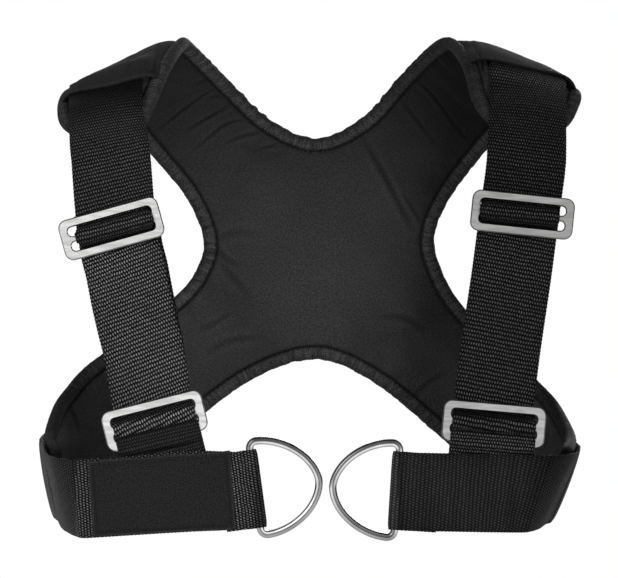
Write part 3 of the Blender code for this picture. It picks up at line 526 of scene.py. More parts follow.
def crease_depth(pixels, creases):
    """How far the creases push a surface in, by where it shows in the photograph."""
    total = np.zeros(len(pixels))
    for line, depth, width in creases:
        fine = spline(vec(line), np.linspace(0, len(line) - 1, CREASE_STEPS))
        nearest = np.full(len(pixels), 1e9)
        end_share = np.zeros(len(pixels))
        for number, (a, b) in enumerate(zip(fine[:-1], fine[1:])):
            run = b - a
            share = np.clip(((pixels - a) @ run) / (run @ run), 0, 1)
            gap = np.linalg.norm(pixels - a - share[:, None] * run, axis=1)
            closer = gap < nearest
            nearest[closer] = gap[closer]
            end_share[closer] = ((number + share) / (len(fine) - 1))[closer]
        fade = np.sin(math.pi * np.clip(end_share, 0.02, 0.98)) ** 0.6
        total += depth * fade * (bell(nearest, 0, width)
                                 - CREASE_RIM * bell(nearest, CREASE_RIM_AT * width, width))
    return total


# Places on the hardware

def strap_plane_y(z):
    return STRAP_TOP_Y + STRAP_PITCH * (z - STRAP_TOP_Z)


def strap_axes(tilt):
    """Along the bars, up the strap and out to the front."""
    angle = math.radians(tilt)
    up = unit(vec((0.0, STRAP_PITCH, 1.0)))
    right = vec((1.0, 0.0, 0.0))
    along = right * math.cos(angle) + up * math.sin(angle)
    rise = up * math.cos(angle) - right * math.sin(angle)
    return along, rise, unit(np.cross(along, rise))


def lower_centre(side):
    x, z, _ = side["lower"]
    return vec((x, strap_plane_y(z) + WEB_THICK / 2 + FRONT_PLY, z))


def upper_centre(side):
    x, z, _ = side["upper"]
    return vec((x, strap_plane_y(z) - GAP - KEEPER_HALF, z))


def lower_bar(side):
    _, rise, _ = strap_axes(side["lower"][2])
    return lower_centre(side) - rise * (SLIDE_HEIGHT - SLIDE_RIM) / 2


def ring_axes(side):
    """The ring's bar, the way from its bar to its bow, and the middle of the bar."""
    x, z, tilt = side["ring"]
    angle = math.radians(tilt)
    bar = vec((math.sin(angle), 0.0, math.cos(angle)))
    bow = vec((math.cos(angle), 0.0, -math.sin(angle))) * -side["sign"]
    return bar, bow, vec((x, RING_AXIS_Y, z))


# Meshes

def vertex_values(mesh, key="co"):
    """One vector for each vertex of a mesh."""
    values = np.zeros(len(mesh.vertices) * 3)
    mesh.vertices.foreach_get(key, values)
    return values.reshape(-1, 3)


def set_uvs(mesh, uvs):
    """Gives each corner the UV of its vertex, from millimetres."""
    layer = mesh.uv_layers[0] if mesh.uv_layers else mesh.uv_layers.new(name="UVMap")
    order = np.zeros(len(mesh.loops), int)
    mesh.loops.foreach_get("vertex_index", order)
    layer.data.foreach_set("uv", (np.asarray(uvs, float)[order] * MM).ravel())


def make_piece(name, points, faces, uvs=None):
    """A smooth mesh piece at the origin, from points and UVs in millimetres."""
    mesh = bpy.data.meshes.new(name)
    mesh.from_pydata((np.asarray(points, float) * MM).tolist(), [], faces)
    if uvs is not None:
        set_uvs(mesh, uvs)
    mesh.validate()
    mesh.update()
    mesh.polygons.foreach_set("use_smooth", [True] * len(mesh.polygons))
    piece = bpy.data.objects.new(name, mesh)
    bpy.context.scene.collection.objects.link(piece)
    return piece


def tube_faces(rows, columns):
    """Faces of a tube, open at both ends, whose rows are closed rings."""
    return [(row * columns + column, row * columns + (column + 1) % columns,
             (row + 1) * columns + (column + 1) % columns, (row + 1) * columns + column)
            for row in range(rows - 1) for column in range(columns)]


def end_faces(rows, columns):
    """Faces that close both ends of a strip whose rows run over the top and back below."""
    size = 2 * columns
    faces = []
    for base, flipped in ((0, True), ((rows - 1) * size, False)):
        for column in range(columns - 1):
            face = (base + column, base + column + 1,
                    base + size - 2 - column, base + size - 1 - column)
            faces.append(face if not flipped else tuple(reversed(face)))
    return faces


def turn_outward(piece):
    """Turns a closed mesh's faces out, judged by its signed volume."""
    mesh = piece.data
    mesh.calc_loop_triangles()
    triangles = np.zeros(len(mesh.loop_triangles) * 3, int)
    mesh.loop_triangles.foreach_get("vertices", triangles)
    a, b, c = (vertex_values(mesh)[triangles.reshape(-1, 3)[:, i]] for i in range(3))
    if (a * np.cross(b, c)).sum() < 0:
        mesh.flip_normals()
    return piece


def closed_ring(top, bottom):
    """Rows that run over the top and back below."""
    return np.concatenate([top, bottom[:, ::-1]], axis=1)


def strip_piece(name, ring, across, along):
    """A closed strip from its ring of rows, with UVs across and along it."""
    rows, size = ring.shape[:2]
    uvs = np.stack([np.broadcast_to(across, (rows, size)),
                    np.broadcast_to(along, (rows, size))], axis=2)
    faces = tube_faces(rows, size) + end_faces(rows, size // 2)
    return turn_outward(make_piece(name, ring.reshape(-1, 3), faces, uvs.reshape(-1, 2)))


def only_select(piece):
    bpy.ops.object.select_all(action="DESELECT")
    piece.select_set(True)
    bpy.context.view_layer.objects.active = piece


def even_rails(rails, spacing):
    """Three rails resampled evenly along their middle, on smooth curves."""
    rails = [vec(rail) for rail in rails]
    count = len(rails[0])
    dense = np.linspace(0, count - 1, (count - 1) * RAIL_STEPS + 1)
    run = run_along(spline(rails[1], dense))
    wanted = np.linspace(0, run[-1], max(int(run[-1] / spacing), 4) + 1)
    places = np.interp(wanted, run, dense)
    return [spline(rail, places) for rail in rails], wanted


def widened(stations):
    """Three rails, an edge, the middle and the other edge, from middles and half widths."""
    return [[middle + half * share for middle, half in stations] for share in (-1, 0, 1)]


def webbing(name, rails, thickness, spacing=0.55, slack=0.25, seed=1, scallop=0.12, skew=0.0,
            pitch=1.0, tighter=0.0, tone=None):
    """A woven strip between its edge lines, with round selvages and a slightly uneven lie,
    painted shade at its selvages and, from tone, the piece's painted light and shade.
    """
    rails, run = even_rails(rails, spacing)
    first, middle, last = rails
    share = np.sin(np.linspace(-math.pi / 2, math.pi / 2, WEB_COLUMNS))
    both = np.concatenate([share, share[::-1]])
    left = (share * (share - 1) / 2)[None, :, None]
    centre = (1 - share ** 2)[None, :, None]
    right = (share * (share + 1) / 2)[None, :, None]
    surface = first[:, None] * left + middle[:, None] * centre + last[:, None] * right
    along = unit(np.gradient(middle, axis=0))[:, None]
    side_way = unit(last - first)[:, None]
    normal = unit(np.cross(np.broadcast_to(along, surface.shape),
                           np.gradient(surface, axis=1)))
    edge = np.sign(share) * np.abs(share) ** TOOTH_POWER
    teeth = scallop * np.sin(2 * math.pi * run / WEB_ROW)
    surface = surface + side_way * edge[None, :, None] * teeth[:, None, None]
    long_wave, short_wave = (ripple(run, wave, seed + number)[:, None]
                             for number, wave in enumerate(LIE_WAVES))
    wave = long_wave + 0.6 * short_wave * share
    fade = np.clip(np.minimum(run, run[-1] - run) / LIE_FADE, 0, 1)[:, None]
    surface = surface + normal * (slack * wave * fade)[..., None]
    half = thickness / 2 * np.maximum(1 - np.abs(share) ** SECTION_POWER, 0.0) ** 0.5
    half = np.maximum(half, thickness * SELVAGE_THICK)[None, :, None]
    across = both[None, :] * (np.linalg.norm(last - first, axis=1)[:, None] / 2)
    woven = run * (pitch + tighter * (1 - run / STRAP_ROW_SPAN))
    ring = closed_ring(surface + normal * half, surface - normal * half)
    piece = strip_piece(name, ring, across,
                        woven[:, None] + across * math.tan(math.radians(skew)))
    # Painted shade at the selvages, times the piece's painted light and shade
    painted_edge_shade = np.tile(1 - SELVAGE_SHADE * np.abs(both) ** SELVAGE_POWER, len(run))
    mark_painted_light(piece, painted_edge_shade if tone is None else painted_edge_shade * tone(ring.reshape(-1, 3)))
    return piece


def stitches(name, points, normals, length=2.6, gap=0.9, width=0.55, height=0.28):
    """A run of sewn stitches along a line that lies on a surface."""
    points = np.asarray(points, float)
    run = run_along(points)
    size, rows = len(STITCH_SECTION), len(STITCH_PROFILE)
    closed = tube_faces(rows, size) + [tuple(reversed(range(size))),
                                       tuple(range((rows - 1) * size, rows * size))]
    total = max(int((run[-1] - length) // (length + gap)), 1)
    all_points, faces = [], []
    for start in np.arange(total) * (length + gap) + gap:
        faces += [tuple(len(all_points) + i for i in face) for face in closed]
        for part, wide, high in STITCH_PROFILE:
            at = start + part * length
            centre = at_run(at, run, points)
            up = unit(at_run(at, run, normals))
            chord = (at_run(at + STITCH_CHORD, run, points)
                     - at_run(at - STITCH_CHORD, run, points))
            across = unit(np.cross(up, chord))
            for x, y in STITCH_SECTION:
                lift = high * height * y if y > 0 else -STITCH_SUNK
                all_points.append(centre + across * (x * wide * width) + up * lift)
    piece = turn_outward(make_piece(name, all_points, faces))
    mark_painted_light(piece, np.ones(len(all_points)))
    return piece


def mark_painted_light(piece, values):
    """Keeps painted light and shade at each point in the fold attribute: 1 is plain, less is
    painted shade, more is painted highlight.
    """
    attribute = piece.data.attributes.new("fold", "FLOAT", "POINT")
    attribute.data.foreach_set("value", np.asarray(values, np.float32).ravel())


def finish_piece(piece, body, look, slot, *replaced):
    """Gives a piece its fabric or material and its body, and hides the parts it replaces; its
    slot is not used.
    """
    piece.data.materials.clear()
    piece.data.materials.append(fabric(look) if isinstance(look, str) else look)
    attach(piece, body)
    if replaced:
        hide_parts(*replaced)
    return piece


# Material nodes

def add_node(tree, kind, values=(), **settings):
    made = tree.nodes.new(kind)
    for key, value in settings.items():
        setattr(made, key, value)
    for socket, value in values:
        if isinstance(value, bpy.types.NodeSocket):
            tree.links.new(value, made.inputs[socket])
        else:
            made.inputs[socket].default_value = value
    return made


def sums(tree, operation, *values):
    return add_node(tree, "ShaderNodeMath", enumerate(values), operation=operation).outputs[0]


def ranged(tree, value, low, high, to_low=0.0, to_high=1.0):
    return add_node(tree, "ShaderNodeMapRange",
                    [("Value", value), ("From Min", low), ("From Max", high),
                     ("To Min", to_low), ("To Max", to_high)]).outputs["Result"]


def noise(tree, vector, scale, detail, rough=0.5):
    return add_node(tree, "ShaderNodeTexNoise",
                    [("Vector", vector), ("Scale", scale), ("Detail", detail),
                     ("Roughness", rough)]).outputs["Fac"]


def scaled(tree, colour, factor):
    return add_node(tree, "ShaderNodeVectorMath", [(0, colour), ("Scale", factor)],
                    operation="SCALE").outputs[0]


def blended(tree, factor, low, high):
    return add_node(tree, "ShaderNodeMix", [(0, factor), (6, low), (7, high)],
                    data_type="RGBA").outputs[2]


# Reads the fold attribute: the painted light and shade by which a colour is scaled
def painted_light_value(tree):
    return add_node(tree, "ShaderNodeAttribute", attribute_name="fold").outputs["Fac"]


def bumped(tree, height, distance, strength):
    return add_node(tree, "ShaderNodeBump", [("Height", height), ("Distance", distance),
                                             ("Strength", strength)]).outputs[0]


def webbing_weave(tree, given):
    """Slanting floats with weft lines between them: three waves that cross, and an uneven yarn.
    The crown sets where fabrics paint light on the floats and shade in the lines between them.
    """
    op = partial(sums, tree)
    parts = add_node(tree, "ShaderNodeSeparateXYZ", [(0, given["Vector"])])
    drift = op("MULTIPLY", noise(tree, given["Vector"], 110.0, 2.0), 0.6)
    along = op("ADD", op("DIVIDE", parts.outputs[1], given["Along"]), drift)
    across = op("ADD", op("DIVIDE", parts.outputs[0], given["Across"]),
                op("MULTIPLY", along, given["Slant"]))
    rows, beads, cross = (op("COSINE", op("MULTIPLY", phase, 2 * math.pi))
                          for phase in (along, across, op("ADD", along, across)))
    total = op("ADD", rows, op("ADD", op("MULTIPLY", beads, given["Beads"]),
                               op("MULTIPLY", cross, given["Cross"])))
    weight = op("ADD", op("ADD", given["Beads"], 1.0), given["Cross"])
    both = op("DIVIDE", total, weight)
    yarn = ranged(tree, noise(tree, given["Vector"], 420.0, 1.0), 0.3, 0.7, 0.7, 1.25)
    return op("MULTIPLY", ranged(tree, both, given["Gap"], 0.75), yarn), both


def cloth_weave(tree, given):
    """Fine threads over and under, with a faint slub."""
    op = partial(sums, tree)
    parts = add_node(tree, "ShaderNodeSeparateXYZ", [(0, given["Vector"])])
    across = op("DIVIDE", parts.outputs[0], given["Thread"])
    along = op("DIVIDE", op("DIVIDE", parts.outputs[1], given["Rib"]), given["Thread"])
    lean = op("ADD", across, op("MULTIPLY", along, given["Twill"]))
    warp, weft = (op("POWER", op("ABSOLUTE", op("SINE", op("MULTIPLY", phase, math.pi))), 0.7)
                  for phase in (lean, along))
    both = op("MULTIPLY", warp, weft)
    slub = ranged(tree, noise(tree, given["Vector"], 900.0, 2.0), 0.3, 0.7, -0.35, 0.65)
    return op("ADD", op("MULTIPLY", both, 0.7), slub), both


def cloud_and_speck(tree, given):
    """Cloudy variation over a whole piece and fine specks on it."""
    return (noise(tree, given["Vector"], given["Cloud"], 3.0, 0.55),
            noise(tree, given["Vector"], given["Speck"], 1.0))


# Each group's nodes, its inputs besides the vector, with their usual values, and its outputs

GROUPS = {
    "Webbing weave": (webbing_weave, {"Across": 0.00165, "Along": 0.0024, "Slant": -0.55,
                                      "Beads": 1.0, "Cross": 0.55, "Gap": -0.2},
                      ("Crown", "Height")),
    "Plain cloth weave": (cloth_weave, {"Thread": 0.00042, "Twill": 0.0, "Rib": 1.0},
                          ("Crown", "Height")),
    "Cloud and speck": (cloud_and_speck, {"Cloud": 18.0, "Speck": 1400.0}, ("Cloud", "Speck")),
}


def node_group(name):
    """A node group, made once."""
    if name in bpy.data.node_groups:
        return bpy.data.node_groups[name]
    make, inputs, outputs = GROUPS[name]
    tree = bpy.data.node_groups.new(name, "ShaderNodeTree")
    tree.interface.new_socket("Vector", in_out="INPUT", socket_type="NodeSocketVector")
    for label, value in inputs.items():
        socket = tree.interface.new_socket(label, in_out="INPUT", socket_type="NodeSocketFloat")
        socket.default_value = value
    for label in outputs:
        tree.interface.new_socket(label, in_out="OUTPUT", socket_type="NodeSocketFloat")
    given, result = tree.nodes.new("NodeGroupInput"), tree.nodes.new("NodeGroupOutput")
    for label, value in zip(outputs, make(tree, given.outputs)):
        tree.links.new(value, result.inputs[label])
    return tree


def placed(tree, name, vector, **values):
    made = tree.nodes.new("ShaderNodeGroup")
    made.node_tree = node_group(name)
    tree.links.new(vector, made.inputs["Vector"])
    for key, value in values.items():
        made.inputs[key].default_value = value
    return made.outputs


def start_material(name):
    material = bpy.data.materials.new(name)
    material.use_nodes = True
    tree = material.node_tree
    return material, tree, tree.nodes["Principled BSDF"], tree.nodes.new("ShaderNodeTexCoord")


def set_shader(tree, shader, **values):
    """Links or sets sockets of the shader, named with _ for a space."""
    for key, value in values.items():
        socket = shader.inputs[key.replace("_", " ")]
        if isinstance(value, bpy.types.NodeSocket):
            tree.links.new(value, socket)
        else:
            socket.default_value = value


def shade(colour, factor):
    return tuple(channel * factor for channel in colour[:3]) + (1.0,)


def fabric_material(name, colour, weave, dark, light, rough, bump, contrast, sheen=0.0,
                    strength=0.6, gloss=0.14, gathers=0.0, **values):
    """A woven cloth: painted light on the thread crowns, painted shade in the gaps, and the dye
    clouds.
    """
    material, tree, shader, places = start_material(name)
    op = partial(sums, tree)
    threads = placed(tree, weave, places.outputs["UV"], **values)
    cloud = placed(tree, "Cloud and speck", places.outputs["Object"])
    # Lit and shaded copies of the dye: painted light on the thread crowns, painted shade in the
    # gaps
    base = blended(tree, threads["Crown"], shade(colour, dark), shade(colour, light))
    tone = ranged(tree, cloud["Cloud"], 0.3, 0.7, 1 - contrast, 1 + contrast)
    # Painted light and shade held in the fold attribute
    fold = painted_light_value(tree)
    relief = op("ADD", threads["Height"], op("MULTIPLY", cloud["Speck"], 0.35))
    if gathers:
        across = add_node(tree, "ShaderNodeMapping", [("Vector", places.outputs["UV"]),
                                                      ("Scale", (0.16, 1.0, 1.0))])
        pleat = noise(tree, across.outputs[0], 620.0, 2.0)
        # Painted shade and light in stripes along the gathers
        ribs = ranged(tree, pleat, 0.34, 0.66, 1 - gathers, 1 + gathers)
        fold = op("MULTIPLY", fold, ribs)
        relief = op("ADD", relief, op("MULTIPLY", pleat, 2.0))
    set_shader(tree, shader, Base_Color=scaled(tree, scaled(tree, base, tone), fold),
               Roughness=ranged(tree, threads["Crown"], 0.0, 1.0, min(rough + 0.1, 1.0),
                                rough - 0.06),
               Normal=bumped(tree, relief, bump, strength), Sheen_Weight=sheen,
               Sheen_Roughness=0.5, Specular_IOR_Level=gloss)
    return material


def metal_material(name, colour, rough, spread, bump, stretch, bands=(), painted=False):
    """Steel with faint drawn lines, cloudy gloss and small scratches, with painted reflections:
    cloudy streaks, a studio's bands by facing, and, when painted, the fold attribute's painted
    light.
    """
    material, tree, shader, places = start_material(name)
    mapped = add_node(tree, "ShaderNodeMapping", [("Vector", places.outputs["Object"]),
                                                  ("Scale", stretch)])
    cloud = placed(tree, "Cloud and speck", mapped.outputs[0], Cloud=60.0, Speck=900.0)
    tone = blended(tree, cloud["Speck"], shade(colour, 0.93), shade(colour, 1.03))
    # Painted reflection streaks: colour that changes in clouds, stretched along the bars by the
    # mapping
    painted_reflection = ranged(tree, cloud["Cloud"], 0.38, 0.62, 0.82, 1.12)
    # Painted reflection bands, by how far the surface faces away
    if bands:
        view = add_node(tree, "ShaderNodeLayerWeight", [("Blend", 0.5)])
        ramp = tree.nodes.new("ShaderNodeValToRGB")
        while len(ramp.color_ramp.elements) < len(bands):
            ramp.color_ramp.elements.new(0.5)
        for element, (place, value) in zip(ramp.color_ramp.elements, bands):
            element.position = place
            element.color = (value, value, value, 1.0)
        tree.links.new(view.outputs["Facing"], ramp.inputs[0])
        painted_reflection = sums(tree, "MULTIPLY", painted_reflection, ramp.outputs[0])
    # Painted light and reflections from the fold attribute
    if painted:
        painted_reflection = sums(tree, "MULTIPLY", painted_reflection, painted_light_value(tree))
    set_shader(tree, shader, Base_Color=scaled(tree, tone, painted_reflection), Metallic=1.0,
               Roughness=ranged(tree, cloud["Cloud"], 0.3, 0.7, rough - spread, rough + spread),
               Normal=bumped(tree, cloud["Speck"], bump, 0.35))
    return material


# Settings

class HarnessSizes(bpy.types.PropertyGroup):
    pucker: bpy.props.FloatProperty(
        name="Binding pucker", description="How far the gathered tape stands in and out",
        default=0.8 * MM, unit="LENGTH")
    seam_pucker: bpy.props.FloatProperty(
        name="Seam pucker", description="How far the cloth puckers beside the bindings",
        default=0.5 * MM, unit="LENGTH")
    web_slack: bpy.props.FloatProperty(
        name="Webbing slack", description="How unevenly the webbing lies",
        default=0.3 * MM, unit="LENGTH")
    pad_swell: bpy.props.FloatProperty(
        name="Pad swell", description="How far the simulated cover may move",
        default=2.2 * MM, unit="LENGTH")
    stitch_length: bpy.props.FloatProperty(
        name="Stitch length", description="Length of one sewn stitch",
        default=2.6 * MM, unit="LENGTH")


class HarnessColours(bpy.types.PropertyGroup):
    cloth: bpy.props.FloatVectorProperty(
        name="Cloth", description="Dye of the padded back's cloth", subtype="COLOR",
        default=(0.0405, 0.0405, 0.041))
    tape: bpy.props.FloatVectorProperty(
        name="Binding tape", description="Dye of the binding tape", subtype="COLOR",
        default=(0.046, 0.046, 0.047))
    webbing: bpy.props.FloatVectorProperty(
        name="Webbing", description="Dye of the straps and belts", subtype="COLOR",
        default=(0.04, 0.04, 0.041))
    thread: bpy.props.FloatVectorProperty(
        name="Thread", description="Colour of the sewing thread", subtype="COLOR",
        default=(0.03, 0.03, 0.032))
    patch: bpy.props.FloatVectorProperty(
        name="Patch", description="Dye of the bare patch", subtype="COLOR",
        default=(0.0155, 0.0155, 0.016))
    satin_steel: bpy.props.FloatVectorProperty(
        name="Satin steel", description="Colour of the slides", subtype="COLOR",
        default=(0.6, 0.6, 0.595))
    bright_steel: bpy.props.FloatVectorProperty(
        name="Bright steel", description="Colour of the D-rings", subtype="COLOR",
        default=(0.92, 0.92, 0.92))


def sizes():
    return bpy.context.scene.harness_sizes


def colours():
    return bpy.context.scene.harness_colours


# Each fabric's name, its dye, its weave, and its look; in the look, dark and light scale the dye
# into painted shade in the gaps and painted light on the crowns

FABRICS = {
    "cloth": ("Back cloth", "cloth", "Plain cloth weave",
              dict(dark=0.55, light=1.45, rough=0.8, bump=0.00012, contrast=0.14, sheen=0.03,
                   gloss=0.1, Thread=0.0005)),
    "tape": ("Binding tape", "tape", "Plain cloth weave",
             dict(dark=0.4, light=2.0, rough=0.72, bump=0.00025, contrast=0.2, gathers=0.36,
                  gloss=0.08, Thread=0.0006, Twill=0.2, Rib=2.0)),
    "webbing": ("Webbing", "webbing", "Webbing weave",
                dict(dark=0.0, light=7.2, rough=0.5, bump=0.0006, contrast=0.15, strength=1.0,
                     gloss=0.1)),
    "brick_webbing": ("Brick webbing", "webbing", "Webbing weave",
                      dict(dark=0.0, light=10.2, rough=0.5, bump=0.0007, contrast=0.15,
                           strength=1.0, gloss=0.08, Slant=-0.52, Cross=0.85, Gap=-0.07)),
    "fine_webbing": ("Fine webbing", "webbing", "Webbing weave",
                     dict(dark=0.35, light=1.85, rough=0.65, bump=0.0004, contrast=0.2,
                          strength=0.8, gloss=0.05, Slant=-0.45, Beads=0.6, Cross=1.0)),
    "thread": ("Sewing thread", "thread", "Plain cloth weave",
               dict(dark=0.7, light=1.3, rough=0.6, bump=0.00005, contrast=0.05, sheen=0.1,
                    Thread=0.0003)),
    "patch": ("Patch weave", "patch", "Plain cloth weave",
              dict(dark=0.3, light=1.7, rough=0.6, bump=0.0002, contrast=0.12, sheen=0.1,
                   Thread=0.0011)),
}


def fabric(key):
    """A fabric's material, made once."""
    name, dye, weave, values = FABRICS[key]
    if name in bpy.data.materials:
        return bpy.data.materials[name]
    return fabric_material(name, getattr(colours(), dye), weave, **values)


# The padded back

class PanelShape:
    """The panel's middle surface as a grid, with its edge loop."""

    def __init__(self, per_span, band, middle):
        self.places = np.linspace(0, LAST_STATION, LAST_STATION * per_span + 1)
        self.per_span = per_span
        self.columns = 2 * band + middle + 1
        self.points, self.uvs, self.faces, self.index = [], [], [], {}
        for side in SIDES:
            self.add_side(side, band, middle)
        self.points = vec(self.points)
        self.uvs = vec(self.uvs)
        self.normals = self.point_normals()

    def add_side(self, side, band, middle):
        rows = vec([shares_at(side, place, band, middle) for place in self.places])
        surface = panel(side, self.places, rows)
        run = run_along(surface[:, self.columns // 2])
        name = side["name"]
        for row, place in enumerate(self.places):
            shared = side is RIGHT and NECK_STATION <= place <= WAIST_STATION
            start = surface[row, -1]
            for column in range(self.columns):
                if shared and column == self.columns - 1:
                    self.index[name, row, column] = self.index["left", row, column]
                    continue
                self.index[name, row, column] = len(self.points)
                self.points.append(surface[row, column])
                away = np.linalg.norm(surface[row, column] - start)
                self.uvs.append((away * side["sign"], run[row]))
        for row in range(len(self.places) - 1):
            for column in range(self.columns - 1):
                a, b = self.index[name, row, column], self.index[name, row + 1, column]
                d, c = self.index[name, row, column + 1], self.index[name, row + 1, column + 1]
                self.faces.append((a, b, c, d) if side is RIGHT else (a, d, c, b))

    def point_normals(self):
        quads = np.array(self.faces)
        a, b, c, d = (self.points[quads[:, i]] for i in range(4))
        square = np.cross(c - a, d - b)
        normals = np.zeros_like(self.points)
        for i in range(4):
            np.add.at(normals, quads[:, i], square)
        return unit(normals)

    def edge_keys(self):
        """The closed edge as four runs: neck, right armhole, waist, left armhole."""
        last_row, last, half = len(self.places) - 1, self.columns - 1, self.columns // 2
        neck_row, waist_row = NECK_STATION * self.per_span, WAIST_STATION * self.per_span

        def go(side, rows, columns):
            return [self.index[side, row, column] for row in rows for column in columns]

        neck = go("left", [0], range(half, last)) + go("left", range(neck_row + 1), [last])
        neck += go("right", range(neck_row - 1, -1, -1), [last])
        neck += go("right", [0], range(last - 1, half - 1, -1))
        right = go("right", [0], range(half - 1, 0, -1)) + go("right", range(last_row + 1), [0])
        right += go("right", [last_row], range(1, half + 1))
        waist = go("right", [last_row], range(half + 1, last))
        waist += go("right", range(last_row, waist_row - 1, -1), [last])
        waist += go("left", range(waist_row + 1, last_row + 1), [last])
        waist += go("left", [last_row], range(last - 1, half - 1, -1))
        left = go("left", [last_row], range(half - 1, 0, -1))
        left += go("left", range(last_row, -1, -1), [0]) + go("left", [0], range(1, half))
        return [neck, right, waist, left]


def closed_resample(points, spacing):
    loop = np.concatenate([points, points[:1]])
    run = run_along(loop)
    count = int(round(run[-1] / spacing))
    wanted = np.arange(count) * run[-1] / count
    return at_run(wanted, run, loop), run, wanted


def closed_smooth(values, spread):
    """A circular Gaussian average over a closed line; spread in steps."""
    reach = int(spread * 3)
    weights = np.exp(-0.5 * (np.arange(-reach, reach + 1) / spread) ** 2)
    weights /= weights.sum()
    padded = np.concatenate([values[-reach:], values, values[:reach]])
    return np.stack([np.convolve(padded[:, i], weights, mode="valid") for i in range(3)], axis=1)


class EdgeLoop:
    """The panel's rounded edge line, its inward ways, and where each tape starts."""

    def __init__(self, shape):
        runs = shape.edge_keys()
        keys = sum(runs, [])
        self.raw, run, self.run = closed_resample(shape.points[keys], LOOP_STEP)
        self.spacing = run[-1] / len(self.run)
        normals = at_run(self.run, run, shape.normals[keys + keys[:1]])
        rounding = CORNER_ROUNDING / self.spacing
        self.points = closed_smooth(self.raw, rounding)
        self.normals = unit(closed_smooth(normals, rounding))
        along = unit(np.roll(self.points, -1, axis=0) - np.roll(self.points, 1, axis=0))
        self.inward = unit(np.cross(self.normals, along))
        neck = vec(LEFT_STATIONS[NECK_STATION][1])
        top = int(np.argmin(np.linalg.norm(self.points - neck, axis=1)))
        if self.inward[top][2] > 0:
            self.inward = -self.inward
        counts = np.cumsum([0] + [len(part) for part in runs])
        self.starts = [run[count] for count in counts]
        self.surface = BVHTree.FromPolygons(shape.points.tolist(), shape.faces)
        self.tree = kdtree.KDTree(len(self.raw))
        for number, point in enumerate(self.raw):
            self.tree.insert(point, number)
        self.tree.balance()

    def nearest(self, points):
        """For each point, the nearest edge sample and the distance to it."""
        found = [self.tree.find(point) for point in points]
        return np.array([item[1] for item in found]), np.array([item[2] for item in found])

    def tips(self, reach):
        """Points on the panel's surface a reach in from the edge, and their normals."""
        places, normals = [], []
        for point, way, up in zip(self.points, self.inward, self.normals):
            location, normal, _, _ = self.surface.find_nearest(Vector(point + way * reach))
            normal = vec(normal)
            places.append(vec(location))
            normals.append(normal if normal @ up > 0 else -normal)
        return (closed_smooth(vec(places), 2.0 / self.spacing),
                unit(closed_smooth(vec(normals), 2.0 / self.spacing)))


CLOTH_SETTINGS = {
    "quality": 6, "mass": 0.25, "tension_stiffness": 18, "compression_stiffness": 18,
    "shear_stiffness": 6, "bending_stiffness": 0.4, "use_pressure": True,
    "uniform_pressure_force": 4.0, "vertex_group_mass": "sewn", "shrink_min": -0.018,
}
CLOTH_STEPS = 20


def simulate_cover(piece, pinned, cap):
    """Lets the pad's cover swell and buckle between its sewn edges, up to a cap."""
    mesh = piece.data
    start = vertex_values(mesh)
    group = piece.vertex_groups.new(name="sewn")
    for number in np.flatnonzero(pinned > 0):
        group.add([int(number)], float(pinned[number]), "REPLACE")
    only_select(piece)
    cloth = piece.modifiers.new("Cloth", "CLOTH")
    for key, value in CLOTH_SETTINGS.items():
        setattr(cloth.settings, key, value)
    cloth.settings.effector_weights.gravity = 0
    cloth.collision_settings.use_collision = False
    cloth.point_cache.frame_start = 1
    cloth.point_cache.frame_end = CLOTH_STEPS
    scene = bpy.context.scene
    for number in range(1, CLOTH_STEPS + 1):
        scene.frame_set(number)
    bpy.ops.object.modifier_apply(modifier="Cloth")
    change = vertex_values(mesh) - start
    size = np.linalg.norm(change, axis=1, keepdims=True)
    change *= np.minimum(1.0, cap / np.maximum(size, 1e-9))
    mesh.vertices.foreach_set("co", (start + change).ravel())
    piece.vertex_groups.clear()
    scene.frame_set(1)
    mesh.update()


def rounded_corners(points, loop):
    """Moves points near the edge with the rounding of its corners."""
    number, distance = loop.nearest(points)
    fade = np.clip(1 - distance / CORNER_REACH, 0, 1)[:, None] ** 1.5
    return points + (loop.points[number] - loop.raw[number]) * fade, distance


def make_back_pad():
    shape = PanelShape(*PAD_GRID)
    loop = EdgeLoop(shape)
    points, distance = rounded_corners(shape.points, loop)
    pressed = PRESS_DEPTH * eased((PRESS_FROM - distance) / PRESS_FADE)
    half = (foam_thickness(distance) / 2 + GAP + FABRIC - pressed)[:, None]
    count = len(points)
    both = np.concatenate([points + shape.normals * half, points - shape.normals * half])
    faces = list(shape.faces)
    faces += [tuple(i + count for i in reversed(face)) for face in shape.faces]
    keys = sum(shape.edge_keys(), [])
    edges = {(face[i], face[(i + 1) % 4]) for face in shape.faces for i in range(4)}
    for a, b in zip(keys, keys[1:] + keys[:1]):
        wall = (a, b) if (b, a) in edges else (b, a)
        faces.append((wall[0], wall[1], wall[1] + count, wall[0] + count))
    piece = make_piece("back_pad", both, faces, np.concatenate([shape.uvs, shape.uvs]))
    turn_outward(piece)
    held = np.clip(HELD_FROM - np.concatenate([distance, distance]) / HELD_REACH, 0, 1)
    simulate_cover(piece, held, sizes().pad_swell)
    only_select(piece)
    subdivision = piece.modifiers.new("Subdivision", "SUBSURF")
    subdivision.levels = 2
    subdivision.render_levels = 2
    bpy.ops.object.modifier_apply(modifier="Subdivision")
    shape_pad_surface(piece, loop)
    piece.data.polygons.foreach_set("use_smooth", [True] * len(piece.data.polygons))
    finish_piece(piece, "harness", "cloth", "cloth", "back_foam", "back_liner", "back_shell")


